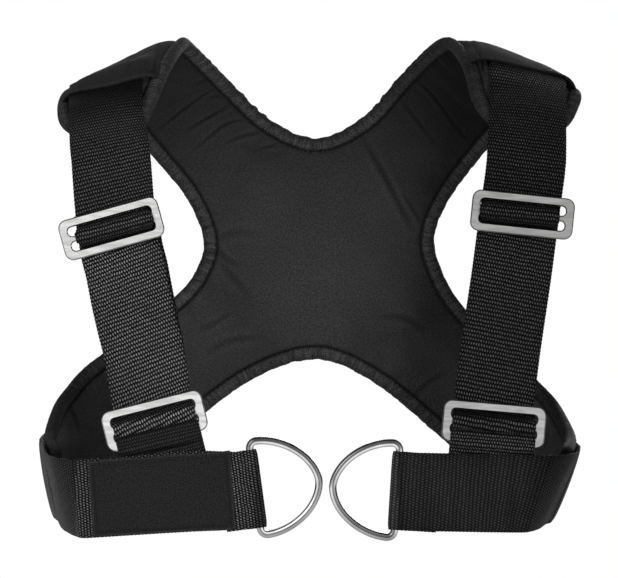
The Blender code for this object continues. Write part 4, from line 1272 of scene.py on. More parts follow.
def shape_pad_surface(piece, loop):
    """Puckers beside the seams, soft unevenness, and the creases that the photograph shows;
    painted shade in the crease valleys and beside the tape, painted highlight on ridges and
    puckers, and the lining's painted light.
    """
    mesh = piece.data
    points, normals = vertex_values(mesh) / MM, vertex_values(mesh, "normal")
    number, distance = loop.nearest(points)
    pucker = (ripple(loop.run[number] + 0.35 * distance, PUCKER_WAVE, SEEDS["pucker"])
              * bell(distance, PUCKER_FROM, PUCKER_REACH) * sizes().seam_pucker / MM)
    far = (ripple(points[:, 0] * 0.8 + points[:, 2], UNEVEN_WAVES[0], UNEVEN_SEEDS[0])
           * ripple(points[:, 0] - points[:, 2] * 0.6, UNEVEN_WAVES[1], UNEVEN_SEEDS[1]))
    pucker += UNEVEN_HEIGHT * far * np.clip((distance - HELD_REACH) / HELD_REACH, 0, 1)
    is_liner = np.array([shape_side(loop, point) for point in points]) < 0
    pixels = photo_pixels(points)
    inside = np.clip((distance - 7.5) / 3.0, 0, 1)
    creases = np.where(is_liner, crease_depth(pixels, LINER_CREASES), 0.0)
    front = ~is_liner & (points[:, 1] < SHELL_FRONT_Y)
    creases += np.where(front, crease_depth(pixels, SHELL_CREASES), 0.0)
    points = points + normals * (pucker - CREASE_SCALE * creases * inside)[:, None]
    mesh.vertices.foreach_set("co", (points * MM).ravel())
    mesh.update()
    # Painted shade in the crease valleys and along the seam beside the tape, painted highlight
    # on the ridges and puckers
    painted_crease_shade = 0.8 * np.clip(creases, 0, 0.9) * inside
    seam = 0.75 * bell(distance, SEAM_DISTANCE, 0.9)
    painted_ridge_light = 0.7 * np.clip(-creases, 0, 0.5) * inside + 0.16 * np.clip(pucker, -1, 1)
    mark_painted_light(piece, np.clip(1 - painted_crease_shade - seam + painted_ridge_light, 0.25, 1.5)
               * np.where(is_liner, liner_painted_light(pixels), 1.0))


def liner_painted_light(pixels):
    """Painted light on the lining: brightest in the middle, falling off to painted shade towards
    the pads, most on the right.
    """
    x, y = pixels[:, 0], pixels[:, 1]
    far = (((x - LIGHT_MIDDLE[0]) / LIGHT_REACH) ** 2
           + ((y - LIGHT_MIDDLE[1]) / LIGHT_REACH) ** 2)
    least = 0.2 + 1.0 * eased((y - 250.0) / 110.0)
    right_top = eased((x - 380.0) / 60.0) * eased((170.0 - y) / 60.0)
    return np.maximum(LIGHT_PEAK * np.exp(-LIGHT_FALL * far), least) * (1 - 0.3 * right_top)


def shape_side(loop, point):
    """Which side of the middle surface a point is on: outside is positive."""
    location, normal, _, _ = loop.surface.find_nearest(Vector(point))
    return (Vector(point) - location).dot(normal)


def tape_surface(loop, tips, tip_normals, chosen, inset, pucker, seed):
    """Rings of the folded tape: for each edge sample a line over the edge and back."""
    section = TAPE_SECTION + [(q, -w) for q, w in TAPE_SECTION[::-1]]
    points, inward, normals, run = (values[chosen] for values in (
        loop.points, loop.inward, loop.normals, loop.run))
    tip, tip_normal = tips[chosen], tip_normals[chosen]
    calm = tape_calm(points)
    rings = []
    for q, w in section:
        share = min(max(q, 0.0) / TAPE_ARM, 1.02)
        base = points + (tip - points) * share + inward * min(q, 0.0)
        facing = unit(normals + (tip_normal - normals) * share)
        puff = math.sin(math.pi * min(max((6.4 - q) / 7.5, 0.0), 1.0))
        edge = max(0.0, 1 - abs(w) / 3.0) if q < 0.5 else 0.0
        sheet_side = 1.0 if w >= 0 else -1.0
        gathers = ripple(run + 0.9 * q * sheet_side, TAPE_GATHER, seed)
        waves = ripple(run - 0.5 * q, TAPE_WAVE, seed + 3)
        lift = calm * pucker * puff * (0.9 * gathers + 0.5 * waves) * (1 - edge)
        slide = -calm * pucker * edge * (0.7 * gathers + 0.6 * waves)
        depth = inset * (1 if abs(w) > 1.5 else 0.6)
        height = abs(w) - depth * min(abs(w) / 2.4, 1.0)
        inner_shift = inset * max(0.0, 1 - abs(w) / 2.9) if q < 0.5 else 0.0
        rings.append(base + facing * (sheet_side * (height + lift))[:, None]
                     + inward * (inner_shift + slide)[:, None])
    return np.stack(rings, axis=1)


def tape_calm(points):
    """The tape ruffles most on the back and on the side lobes, least on the pads."""
    behind = 0.18 + 0.82 * eased((points[:, 1] - 18.0) / 34.0)
    return np.maximum(behind * (points[:, 2] > -130.0) + 0.5 * (points[:, 2] <= -130.0),
                      0.5 * np.clip((-120.0 - points[:, 2]) / 20.0, 0, 1))


def tape_painted_light(outer, run, seed, joins, side_shade):
    """Painted shade at the rolled edge and at the seam, painted light between, painted streaks
    of light and shade along the gathers, painted shade low on the arm tapes and on the right
    shoulder, and painted highlight lines at the joins.
    """
    across = np.interp([entry[0] for entry in TAPE_SECTION], *zip(*TAPE_LIGHT))
    streaks = (ripple(run, TAPE_GATHER, seed) * 0.16 + ripple(run, TAPE_WAVE, seed + 3) * 0.12)
    tones = np.concatenate([across, across[::-1]]) * (1 + streaks[:, None])
    pixels = photo_pixels(outer.reshape(-1, 3)).reshape(tones.shape + (2,))
    x, y = pixels[..., 0], pixels[..., 1]
    tones = tones * (1 - side_shade * eased((y - 365.0) / 30.0))
    tones = tones * (1 - 0.4 * eased((x - 340.0) / 50.0) * eased((130.0 - y) / 50.0))
    for join_x, join_y in joins:
        tones = tones * (1 + 0.5 * (np.abs(x - join_x) < 9) * bell(y, join_y, 0.7))
    return np.clip(tones, 0.2, 1.9)


def make_tape(name, loop, tips, tip_normals, start, end, replaced, seed):
    low = int(math.ceil(start / loop.spacing)) - 4
    high = int(math.floor(end / loop.spacing)) + 3
    chosen = np.arange(low, high) % len(loop.points)
    arm = next((side for side in SIDES if name == side["name"] + "_arm_tape"), None)
    pucker = sizes().pucker / MM * (0.45 if arm else 1.0)
    outer, inner = (tape_surface(loop, tips, tip_normals, chosen, inset, pucker, seed)
                    for inset in (0.0, TAPE_THICK))
    places = np.arange(len(chosen))
    tuck = np.clip(1 - np.minimum(places, places[::-1]) / 5.0, 0, 1)[:, None, None] * 0.35
    outer = outer + (inner - outer) * tuck
    wide = run_along(outer[len(chosen) // 2])
    piece = strip_piece(name, closed_ring(outer, inner), np.concatenate([wide, wide[::-1]]),
                        (places * loop.spacing)[:, None])
    tones = tape_painted_light(outer, loop.run[chosen], seed, TAPE_JOINS if arm is LEFT else (),
                       arm["tape_shade"] if arm else 0.0)
    # Painted light on the tape's outside, and half of it, as painted shade, on its inside
    mark_painted_light(piece, closed_ring(tones, 0.5 * tones))
    finish_piece(piece, "harness", "tape", "tape", replaced)
    return outer


def make_bindings():
    """The tapes, each with a seam on its outer and on its inner side."""
    loop = EdgeLoop(PanelShape(*TAPE_GRID))
    tips, tip_normals = loop.tips(TAPE_ARM)
    names = [("neck_tape", "neck_binding"), ("right_arm_tape", "right_armhole_binding"),
             ("waist_tape", "waist_binding"), ("left_arm_tape", "left_armhole_binding")]
    for number, (name, node) in enumerate(names):
        outer = make_tape(name, loop, tips, tip_normals, loop.starts[number],
                          loop.starts[number + 1], node, SEEDS["tape"] + 10 * number)
        top, bottom = outer[:, 2], outer[:, -3]
        up = unit(top - bottom)
        for label, line, facing in (("outer", top, up), ("inner", bottom, -up)):
            seam = stitches(f"{name}_{label}_seam", line[2:-2], facing[2:-2],
                            length=sizes().stitch_length / MM)
            finish_piece(seam, "harness", "thread", "tape")


# Webbing

def strap_on_pad(side):
    """The strap's sewn part, on the pad under its cover."""
    outer_x, inner_x = side["strap_edges"]
    rows = []
    end = side["strap_end"]
    for place in (end, (end + STRAP_PLACES[0]) / 2, *STRAP_PLACES):
        outer, inner = (line[0] for line in edge_lines(side, place))
        shares = [(x - outer[0]) / (inner[0] - outer[0])
                  for x in (outer_x, (outer_x + inner_x) / 2, inner_x)]
        rows.append(panel(side, place, shares, STRAP_LIFT)[0])
    return list(zip(*rows))


def strap_stations(line):
    """Places along the strap's line, on its plane, and their tilts."""
    for x, z, tilt in spline(line, np.arange(0, len(line) - 0.5, 0.5)):
        yield vec((x, strap_plane_y(z) + WEB_THICK / 2, z)), tilt


def strap_down_front(side):
    """From the pad's end, where the strap is still turned with the pad, down the front."""
    exit_place, exit_tilt = vec(side["strap_exit"][:3]), side["strap_exit"][3]
    stations = []
    for middle, tilt in [(exit_place, exit_tilt), *strap_stations(vec(side["strap"][::-1]))]:
        share = min(max((middle[2] - STRAP_TURN_Z) / STRAP_TURN_REACH, 0.0), 1.0)
        turn = vec((0.0, math.tan(math.radians(STRAP_TURN) * share), 0.0)) * side["sign"]
        along = strap_axes(tilt)[0] + turn
        stations.append((middle, along * -side["sign"] * WEB_WIDTH / 2))
    return widened(stations)


def strap_at_lower_slide(side):
    """Behind the top bar, round the middle bar and up behind itself."""
    along, rise, out = strap_axes(side["lower"][2])
    centre = lower_centre(side)
    front = SLIDE_THICK / 2 + 1.2 + WEB_THICK / 2
    below = SLIDE_MIDDLE / 2 + BAR_GAP + WEB_THICK / 2 + 0.8
    path = [(12.5, FRONT_PLY), (9.0, FRONT_PLY), (7.2, FRONT_PLY + 0.2), (5.2, -0.9),
            (3.4, 2.0), (1.6, front), (-2.2, front), (-3.5, front - 0.5), (-below, 1.6),
            (-below, -1.4), (-2.2, -3.0), (-0.2, -4.0), (3.0, BACK_PLY), (9.0, BACK_PLY),
            (12.5, BACK_PLY)]
    return widened([(centre + rise * up + out * forward, along * -side["sign"]
                     * (SLIDE_WEB_HALF + 1.9 * math.exp(-(up / 8.0) ** 4)))
                    for up, forward in path])


def strap_back_ply(side):
    """The return ply, from the lower slide to just under the adjuster's middle bar."""
    top = side["upper"][1] + 4.0
    line = [vec(entry) for entry in side["strap"] if entry[1] < top - 6.0]
    above = vec(side["strap"][len(line)])
    line.append(line[-1] + (above - line[-1]) * (top - 3.0 - line[-1][1])
                / (above[1] - line[-1][1]))
    stations = []
    for middle, tilt in strap_stations(line):
        along, _, out = strap_axes(tilt)
        beside = side["ply_shift"] * eased((middle[2] - side["lower"][1] - 20.0) / 60.0)
        stations.append((middle - out * (WEB_THICK + GAP) + along * beside,
                         along * -side["sign"] * WEB_WIDTH / 2))
    return widened(stations)


def strap_painted_light(side, points):
    """Painted shadow below the left cover's hem and a painted light band below the right one,
    painted shade in creases and on the back ply, and painted light on the crown over the lower
    slide's bar.
    """
    pixels = photo_pixels(points)
    line = vec(side["hem"])
    below = pixels[:, 1] - np.interp(pixels[:, 0], line[:, 0], line[:, 1])
    # Painted shadow under the hem on the left; on the right a painted light band just under the
    # hem
    if side is LEFT:
        shaded = 0.1 + 0.9 * eased((below - 8.0) / 40.0)
    else:
        shaded = 0.85 + 0.9 * bell(below, 9.0, 5.0) * (below > 2)
    # Painted shade along the strap's painted creases
    shaded = shaded * (1 - crease_depth(pixels, side["strap_creases"]))
    _, rise, out = strap_axes(side["lower"][2])
    local = points - lower_centre(side)
    up, forward = local @ rise, local @ out
    # Painted highlight on the crown over the middle bar, painted shade where the strap goes
    # behind the bar
    crown = 0.5 * bell(up, 0.8, 1.6) * (forward > 1.0)
    behind_bar = 0.65 * eased((up - 2.6) / 1.5) * (up < 9.5) * (forward > -3.4)
    # Painted light of the strap's side, changing below the adjuster
    low = eased((side["upper"][1] - points[:, 2]) / 16.0)
    light_high, light_low = side["strap_light"]
    high = light_high + (light_low - light_high) * low
    # Painted shade on the back ply, where it shows behind the strap
    depth = points[:, 1] - strap_plane_y(points[:, 2])
    shaded_back_ply = (depth > WEB_THICK + 0.1) & (points[:, 2] < side["upper"][1] + 6.0)
    shaded_back_ply &= np.abs(up) > 14.0
    return shaded * high * (1 + crown - behind_bar) * np.where(shaded_back_ply, 0.25, 1.0)


def adjuster_painted_light(side, points):
    """Painted light on the middle rows, painted shade where the web goes behind the adjuster."""
    _, rise, _ = strap_axes(side["upper"][2])
    up = (points - upper_centre(side)) @ rise
    tone = 0.55 + 0.95 * bell(up, 0.3, 1.7) + 0.25 * eased((up - 1.0) / 2.0)
    return tone * side["strap_light"][0]


def joined(parts):
    return [sum((list(part[i]) for part in parts), []) for i in range(3)]


def make_straps():
    for number, side in enumerate(SIDES):
        name = side["name"]
        rails = joined([strap_on_pad(side), strap_down_front(side), strap_at_lower_slide(side),
                        strap_back_ply(side)])
        strap = webbing(name + "_strap", rails, WEB_THICK, seed=SEEDS["strap"] + number,
                        slack=sizes().web_slack / MM * 0.6, pitch=1.01, tighter=STRAP_ROW_GROWTH,
                        skew=STRAP_GRAIN - STRAP_GRAIN_CHANGE * side["sign"],
                        tone=partial(strap_painted_light, side))
        finish_piece(strap, "harness", side["strap_look"], "webbing", name + "_shoulder_strap")


def superellipse(angle, power):
    """Cosine and sine, each pushed towards a square's sides."""
    return [math.copysign(abs(part) ** power, part)
            for part in (math.cos(angle), math.sin(angle))]


def make_adjuster_webs():
    """The strap where it rises over the adjuster's middle bar, and the sewn loop under it."""
    for number, side in enumerate(SIDES):
        name = side["name"]
        along, rise, out = strap_axes(side["upper"][2])
        centre = upper_centre(side)
        behind = -SLIDE_THICK / 2 - GAP - ADJUSTER_WEB / 2
        crown = KEEPER_HALF + 0.25 + ADJUSTER_WEB / 2
        half_path = [(0.0, crown), (1.6, crown - 0.05), (3.2, crown - 0.55), (4.5, crown - 1.9),
                     (5.3, 0.9), (6.0, -1.0), (7.4, behind + 0.28), (9.2, behind + 0.12),
                     (11.5, behind + 0.12), (13.6, behind + 0.1)]
        path = half_path[:0:-1] + [(-up, forward) for up, forward in half_path]
        middle = centre + along * side["web_shift"]
        rails = widened([(middle + rise * up + out * forward,
                          along * (ADJUSTER_WEB_HALF + 1.9 * math.exp(-(up / 4.2) ** 4)))
                         for up, forward in path])
        web = webbing(name + "_adjuster_web", rails, ADJUSTER_WEB, slack=0.08,
                      seed=SEEDS["adjuster_web"] + number, spacing=FINE_STEP,
                      tone=partial(adjuster_painted_light, side))
        finish_piece(web, name + "_adjuster", side["strap_look"], "webbing")
        wide, deep = (size / 2 + BAR_GAP + KEEPER_THICK / 2
                      for size in (SLIDE_MIDDLE, SLIDE_THICK))
        turns = [superellipse(2 * math.pi * step / 24, KEEPER_SQUARENESS)
                 for step in range(25)]
        rails = widened([(centre + rise * up * wide + out * forward * deep,
                          along * WEB_WIDTH / 2 * KEEPER_SHARE) for forward, up in turns])
        keeper = webbing(name + "_keeper", rails, KEEPER_WEB, seed=SEEDS["keeper"], slack=0.0,
                         spacing=FINE_STEP, scallop=0.0)
        finish_piece(keeper, name + "_adjuster", "webbing", "webbing", name + "_slide_keeper")


def tab_painted_light(side, points):
    """The tabs' painted light, with painted shade in the crease where the left one bends."""
    crease = crease_depth(photo_pixels(points), side["tab_creases"])
    return side["tab_light"] * np.clip(1 - 0.9 * crease, 0.1, 1.4)


def make_tabs():
    """Doubled webbing: up in front of the belt, over the slide's bottom bar and down again."""
    for number, side in enumerate(SIDES):
        along, rise, out = strap_axes(side["lower"][2])
        centre = lower_bar(side)
        bend = BAR_GAP + WEB_THICK / 2
        ply = SLIDE_THICK / 2 + bend
        side_up = SLIDE_RIM / 2
        front_y = BELT_FRONT_Y + WEB_THICK + GAP + 0.5
        back_y = front_y + WEB_THICK + GAP
        below, turn = -6.2, -4.7

        def forward_for(y, up):
            return (y - centre[1] - rise[1] * up) / out[1]

        reaches = (-TAB_REACH, -TAB_REACH * 0.6, below)
        path = [(up, forward_for(front_y, up)) for up in reaches]
        path += [(turn, (ply + forward_for(front_y, below)) / 2 + 0.3), (-side_up - 0.5, ply),
                 (side_up, ply), (side_up + bend, SLIDE_THICK / 2 + bend * 0.95),
                 (side_up + bend + 0.3, SLIDE_THICK / 2 + bend * 0.6),
                 (side_up + bend + 0.35, SLIDE_THICK / 2)]
        path += [(up, -forward) for up, forward in path[:3:-1]]
        path += [(turn, -(ply - forward_for(back_y, below)) / 2 - 0.3)]
        path += [(up, forward_for(back_y, up)) for up in reversed(reaches)]
        rails = widened([(centre + rise * up + out * forward, along * (SLIDE_WEB_HALF + 2.3))
                         for up, forward in path])
        tab = webbing(side["name"] + "_tab", rails, WEB_THICK, seed=SEEDS["tab"] + number,
                      slack=0.0, spacing=0.5, pitch=1.16, tone=partial(tab_painted_light, side))
        finish_piece(tab, "harness", side["tab_look"], "webbing", side["name"] + "_ring_tab")


def belt_on_lobe(side):
    """The belt's sewn part, on the lobe's outer side along its lower edge."""
    rows = []
    for place in BELT_PLACES:
        outer, inner = (line[0] for line in edge_lines(side, place))
        width = np.linalg.norm(inner - outer)
        middle = 1 - (WEB_WIDTH / 2 + BELT_MARGIN) / width
        half = WEB_WIDTH / 2 / width
        rows.append(panel(side, place, [middle - half, middle, middle + half], BELT_LIFT)[0])
    return list(zip(*rows))


def belt_round_ring(side):
    """The fold round the ring's bar, and the return behind the belt."""
    bar, bow, centre = ring_axes(side)
    behind = WEB_THICK + GAP - BELT_FOLD
    angles = [math.radians(30 * step) for step in range(7)]
    path = [(-8.0, -BELT_FOLD)]
    path += [(BELT_FOLD * math.sin(a), -BELT_FOLD * math.cos(a)) for a in angles]
    path += [(-4.0, BELT_FOLD - 0.6), (-9.0, behind + 0.9), (-12.0, behind),
             (-side["return_length"], behind)]
    return widened([(centre + bow * out + vec((0.0, depth, 0.0)), bar * -BELT_AT_RING / 2)
                    for out, depth in path])


def belt_painted_light(side, points):
    """The belts' painted light by where they show in the photograph: painted shade round the
    body, with a slight uneven change along them.
    """
    places, values = zip(*side["belt_light"])
    across = photo_pixels(points)[:, 0]
    uneven = 0.1 * ripple(across, 22.0, SEEDS["belt_light"])
    return np.interp(across, places, values) * (1 + uneven)


def make_belts():
    for number, side in enumerate(SIDES):
        lobe, ring = belt_on_lobe(side), belt_round_ring(side)
        lines = []
        for rail, key in ((0, "belt_top"), (2, "belt_bottom")):
            ends = [lobe[rail][-1]] + [vec(p) for p in side[key]] + [ring[rail][0]]
            line = spline(ends, np.linspace(0, len(ends) - 1, 3 * (len(ends) - 1) + 1))[1:-1]
            line[:, 1] = np.maximum(line[:, 1], BELT_FRONT_Y)
            lines.append(line)
        front = [lines[0], (lines[0] + lines[1]) / 2, lines[1]]
        belt = webbing(side["name"] + "_side_belt", joined([lobe, front, ring]), WEB_THICK,
                       seed=SEEDS["belt"] + number, slack=0.12,
                       pitch=1.1 - 0.1 * side["sign"],
                       tone=partial(belt_painted_light, side))
        finish_piece(belt, "harness", side["belt_look"], "webbing", side["name"] + "_belt")


def cover_surface(side, number):
    """Rows of points from the hem to the seam on the crest, with normals and thickness."""
    shares = np.linspace(0, 1, COVER_COLUMNS)
    first = side["hem_places"][0] + (side["hem_places"][1] - side["hem_places"][0]) * shares
    first = first + 0.05 * np.cos(2 * math.pi * shares)
    steps = spline([(step,) for step in COVER_STEPS],
                   np.linspace(0, len(COVER_STEPS) - 1, COVER_ROWS))
    places = first[None, :] + (COVER_END - first)[None, :] * steps
    after_strap = np.clip((places - side["strap_end"]) / 0.7, -1, 1)
    rest = COVER_LIFT + (COVER_REST - COVER_LIFT) * eased((after_strap + 0.15) / 1.0)
    near_hem = 1 - eased((places - first[None, :]) / 0.8)
    base, raised = np.zeros((2, COVER_ROWS, COVER_COLUMNS, 3))
    for column in range(COVER_COLUMNS):
        outer, inner = edge_lines(side, places[:, column])
        width = np.linalg.norm(inner - outer, axis=1)
        armhole = (6.3 - 3.6 * near_hem[:, column]) / width
        neck = (6.3 - 4.8 * near_hem[:, column]) / width
        across = armhole + (1 - armhole - neck) * shares[column]
        for store, lift in ((base, 0.0), (raised, 1.0)):
            store[:, column] = panel(side, places[:, column], across[:, None], lift)[:, 0]
    normal = unit(raised - base)
    sag = (1 - np.abs(2 * shares - 1) ** 7)[None, :]
    edge = COVER_EDGE + (0.6 + 2.0 * shares[None, :]) * near_hem
    surface = base + normal * (edge + (rest - edge) * sag)[..., None]
    run = run_along(surface[:, COVER_COLUMNS // 2])
    flutter = ripple(run[:, None] * 0.6 + 40 * shares[None, :], 24.0,
                     SEEDS["cover"] + number)
    dent = crease_depth(photo_pixels(surface.reshape(-1, 3)), SHELL_CREASES)
    dent = dent.reshape(surface.shape[:2])
    surface = surface + normal * ((0.3 * flutter - dent) * sag)[..., None]
    return shares, run, surface, normal, sag, dent


def make_covers():
    """The smooth cloth over each pad's top, whose rolled hem hides the strap's sewn end."""
    for number, side in enumerate(SIDES):
        name = side["name"]
        shares, run, surface, normal, sag, dent = cover_surface(side, number)
        taper = 0.25 + 0.75 * sag ** 0.5
        thick = (0.5 + 0.75 * bell(run, 1.2, 1.3)[:, None]) * taper
        drop = 1.3 * bell(shares, 0.07, 0.05) * bell(run, 0.0, 3.0)[:, None]
        top = surface + normal * thick[..., None]
        bottom = surface - normal * (0.5 * taper + drop)[..., None]
        width = np.linalg.norm(surface[:, -1] - surface[:, 0], axis=1)[:, None]
        across = np.concatenate([shares, shares[::-1]])[None, :] * width
        cover = strip_piece(name + "_cover", closed_ring(top, bottom), across, run[:, None])
        # Painted light on the cover: a painted highlight on the hem's rolled edge, painted shade
        # below it, in the creases and towards the sides, all scaled down, and half of it, as
        # painted shade, inside
        lip = 0.5 * bell(run, 0.6, 0.5) - 0.3 * bell(run, 3.0, 0.9)
        cover_painted_light = np.clip(1 - 0.6 * dent + lip[:, None], 0.3, 1.6) * (0.7 + 0.3 * sag) * 0.62
        mark_painted_light(cover, closed_ring(cover_painted_light, 0.5 * cover_painted_light))
        finish_piece(cover, "harness", "cloth", "cloth", name + "_shoulder_cover")
        seam_row = int(np.argmin(np.abs(run - COVER_SEAM)))
        seam = stitches(name + "_cover_seam", top[seam_row, 2:-2], normal[seam_row, 2:-2])
        finish_piece(seam, "harness", "thread", "cloth")


# Metal and the patch

def ring_line():
    """The D-ring's centre line: out from the bar along X, along the bar along Y."""
    half, corner = RING_HALF_HEIGHT, RING_CORNER
    bends = [(corner - corner * math.cos(math.radians(9 * step)),
              half - corner + corner * math.sin(math.radians(9 * step))) for step in range(10)]
    line = [(0.0, (half - corner) * step / 8) for step in range(-8, 8)] + bends
    for step in range(91):
        out, up = superellipse(math.radians(90 - 2 * step), 2 / RING_BOW_POWER)
        line.append((corner + abs(out) * (RING_DEPTH - corner), up * half))
    return line + [(out, -up) for out, up in bends[:0:-1]]


def wire_painted_reflections(side, points, line):
    """Painted reflections of the studio on the wire: one side bright, one grey, dark lines
    between.
    """
    middle = line.mean(axis=0)
    along = unit(np.roll(line, -1, axis=0) - np.roll(line, 1, axis=0))
    outward = np.cross(along, vec((0.0, 1.0, 0.0)))
    outward *= np.sign(np.sum(outward * (line - middle), axis=1))[:, None]
    gaps = np.linalg.norm(points[:, None] - line[None], axis=2)
    near = np.argmin(gaps, axis=1)
    outward = unit(outward)[near]
    share = np.clip(np.sum((points - line[near]) * outward, axis=1) / (RING_WIRE / 2), -1, 1)
    places, values = zip(*WIRE_PAINTED_REFLECTION)
    inner_bright = np.interp(-share, places, values)
    outer_bright = np.interp(share, places, values)
    rise = outward[:, 2]
    turned = 1 - eased((rise + 0.1) / 0.6) if side is RIGHT else np.zeros(len(points))
    tones = inner_bright * (1 - turned) + outer_bright * turned
    tones *= 1 - 0.75 * np.maximum(rise, 0) * eased((share + 0.3) / 0.6)
    if side is RIGHT:
        tones *= 1 - 0.6 * np.maximum(-rise, 0)
    return tones


def make_rings():
    look = metal_material("Bright steel", colours().bright_steel, 0.17, 0.03, 0.000001,
                          (1.0, 1.0, 1.0), painted=True)
    for side in SIDES:
        bar, bow, centre = ring_axes(side)
        points = vec([centre + bow * x + bar * y for x, y in ring_line()])
        bpy.ops.object.select_all(action="DESELECT")
        bpy.ops.curve.primitive_bezier_circle_add(radius=1.0, location=(0, 0, 0))
        ring = bpy.context.active_object
        ring.data.splines.clear()
        wire = ring.data.splines.new("POLY")
        wire.points.add(len(points) - 1)
        for knot, point in zip(wire.points, points):
            knot.co = (*(point * MM), 1.0)
        wire.use_cyclic_u = True
        ring.data.dimensions = "3D"
        ring.data.bevel_depth = RING_WIRE / 2 * MM
        ring.data.bevel_resolution = 8
        bpy.ops.object.convert(target="MESH")
        ring = bpy.context.active_object
        ring.name = side["name"] + "_bright_ring"
        bpy.ops.object.shade_smooth()
        turn_outward(ring)
        mark_painted_light(ring, wire_painted_reflections(side, vertex_values(ring.data) / MM, points))
        finish_piece(ring, side["name"] + "_belt_ring", look, "bright_steel",
                     side["name"] + "_d_ring")


def make_slides():
    """The slides keep the solids' shape; each gets the painted light of its own place and
    painted reflection bands on its chamfers.
    """
    for name, tone in SLIDE_PAINTED_LIGHT.items():
        # The slide's colour is the satin steel scaled to its place's painted light
        look = metal_material("Satin steel " + name, shade(colours().satin_steel, tone / 0.6),
                              0.33, 0.05, 0.00003, (1.0, 1.0, 7.0), CHAMFER_BANDS)
        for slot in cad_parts[name].material_slots:
            slot.material = look


def make_patch():
    """A bare woven patch: a soft-edged plate with a turned hem and a row of stitches."""
    bpy.ops.object.select_all(action="DESELECT")
    bpy.ops.mesh.primitive_cube_add(size=1.0)
    patch = bpy.context.active_object
    patch.name = "bare_patch"
    patch.scale = (PATCH_LENGTH * MM, PATCH_THICK * MM, PATCH_HEIGHT * MM)
    bpy.ops.object.transform_apply(location=False, rotation=False, scale=True)
    bpy.ops.object.mode_set(mode="EDIT")
    bpy.ops.mesh.select_all(action="SELECT")
    bpy.ops.mesh.subdivide(number_cuts=9)
    bpy.ops.mesh.subdivide(number_cuts=9)
    bpy.ops.object.mode_set(mode="OBJECT")
    mesh = patch.data
    half_long, half_high = PATCH_LENGTH / 2, PATCH_HEIGHT / 2
    x, y, z = (vertex_values(mesh) / MM).T
    edge = np.minimum(half_long - np.abs(x), half_high - np.abs(z))
    to_left = 0.5 - x / PATCH_LENGTH
    high = z + np.where(z > 0, 0.6, -0.6 + 2.2 * to_left) * np.abs(z) / half_high
    soft = np.clip(edge / PATCH_ROUNDING, 0, 1) ** 0.5
    face_seed, side_seed, hem_seed = PATCH_SEEDS
    wave = 0.2 * ripple(x + 0.3 * high, 34.0, face_seed) * np.clip(edge / 6, 0, 1)
    y = np.where(y < 0, -PATCH_THICK / 2 * (0.25 + 0.75 * soft) + 0.16 * bell(edge, 3.0, 0.9)
                 - wave, y)
    wide = x + 0.22 * ripple(high, 16.0, side_seed) * (np.abs(x) / half_long) ** 8
    high = high + 0.3 * ripple(wide, 26.0, hem_seed) * (np.abs(high) / half_high) ** 8
    angle = math.radians(PATCH_TILT)
    along = vec((math.cos(angle), 0.0, math.sin(angle)))
    rise = vec((-math.sin(angle), 0.0, math.cos(angle)))
    out = vec((0.0, -1.0, 0.0))
    centre = vec((PATCH_CENTRE[0], BELT_FRONT_Y - WEB_THICK / 2 - GAP - PATCH_THICK / 2,
                  PATCH_CENTRE[1]))
    points = centre + along * wide[:, None] + rise * high[:, None] - out * y[:, None]
    mesh.vertices.foreach_set("co", (points * MM).ravel())
    set_uvs(mesh, np.stack([wide, high], axis=1))
    mesh.update()
    # Painted highlight along the patch's edges and painted shade just inside them, beside the
    # stitched rim
    mark_painted_light(patch, 1 + 1.6 * bell(edge, 0.3, 0.6) - 0.5 * bell(edge, 2.6, 0.7))
    only_select(patch)
    bpy.ops.object.shade_smooth_by_angle(angle=math.radians(50))
    finish_piece(patch, "harness", "patch", "patch", "label_patch")
    corners = vec([(-1, -1), (1, -1), (1, 1), (-1, 1), (-1, -1)])
    sides = [np.linspace(a, b, 20)[:-1] for a, b in zip(corners, corners[1:])]
    seam_line = [centre + along * u * (half_long - PATCH_SEAM) + out * (PATCH_THICK / 2 + 0.02)
                 + rise * v * (half_high - PATCH_SEAM) for u, v in np.concatenate(sides)]
    seam_line.append(seam_line[0])
    seam = stitches("patch_seam", seam_line, np.tile(out, (len(seam_line), 1)), length=2.2,
                    gap=0.7, width=0.5, height=0.22)
    finish_piece(seam, "harness", "thread", "patch")


# The stage

def add_lamp(kind, name, place, target, power):
    bpy.ops.object.light_add(type=kind, location=place)
    lamp = bpy.context.active_object
    lamp.name = name
    lamp.data.energy = power
    way = Vector(target) - lamp.location
    lamp.rotation_euler = way.to_track_quat("-Z", "Y").to_euler()
    return lamp


def add_panel(name, place, target, size, power):
    lamp = add_lamp("AREA", name, place, target, power)
    lamp.data.shape = "RECTANGLE"
    lamp.data.size, lamp.data.size_y = size


def add_beam(name, place, target, angle, power):
    """A soft spot that fades from its middle outward, and doesn't show in the steel."""
    lamp = add_lamp("SPOT", name, place, target, power)
    lamp.data.spot_size = math.radians(angle)
    lamp.data.spot_blend = 1.0
    lamp.data.shadow_soft_size = BEAM_RADIUS
    lamp.visible_glossy = False


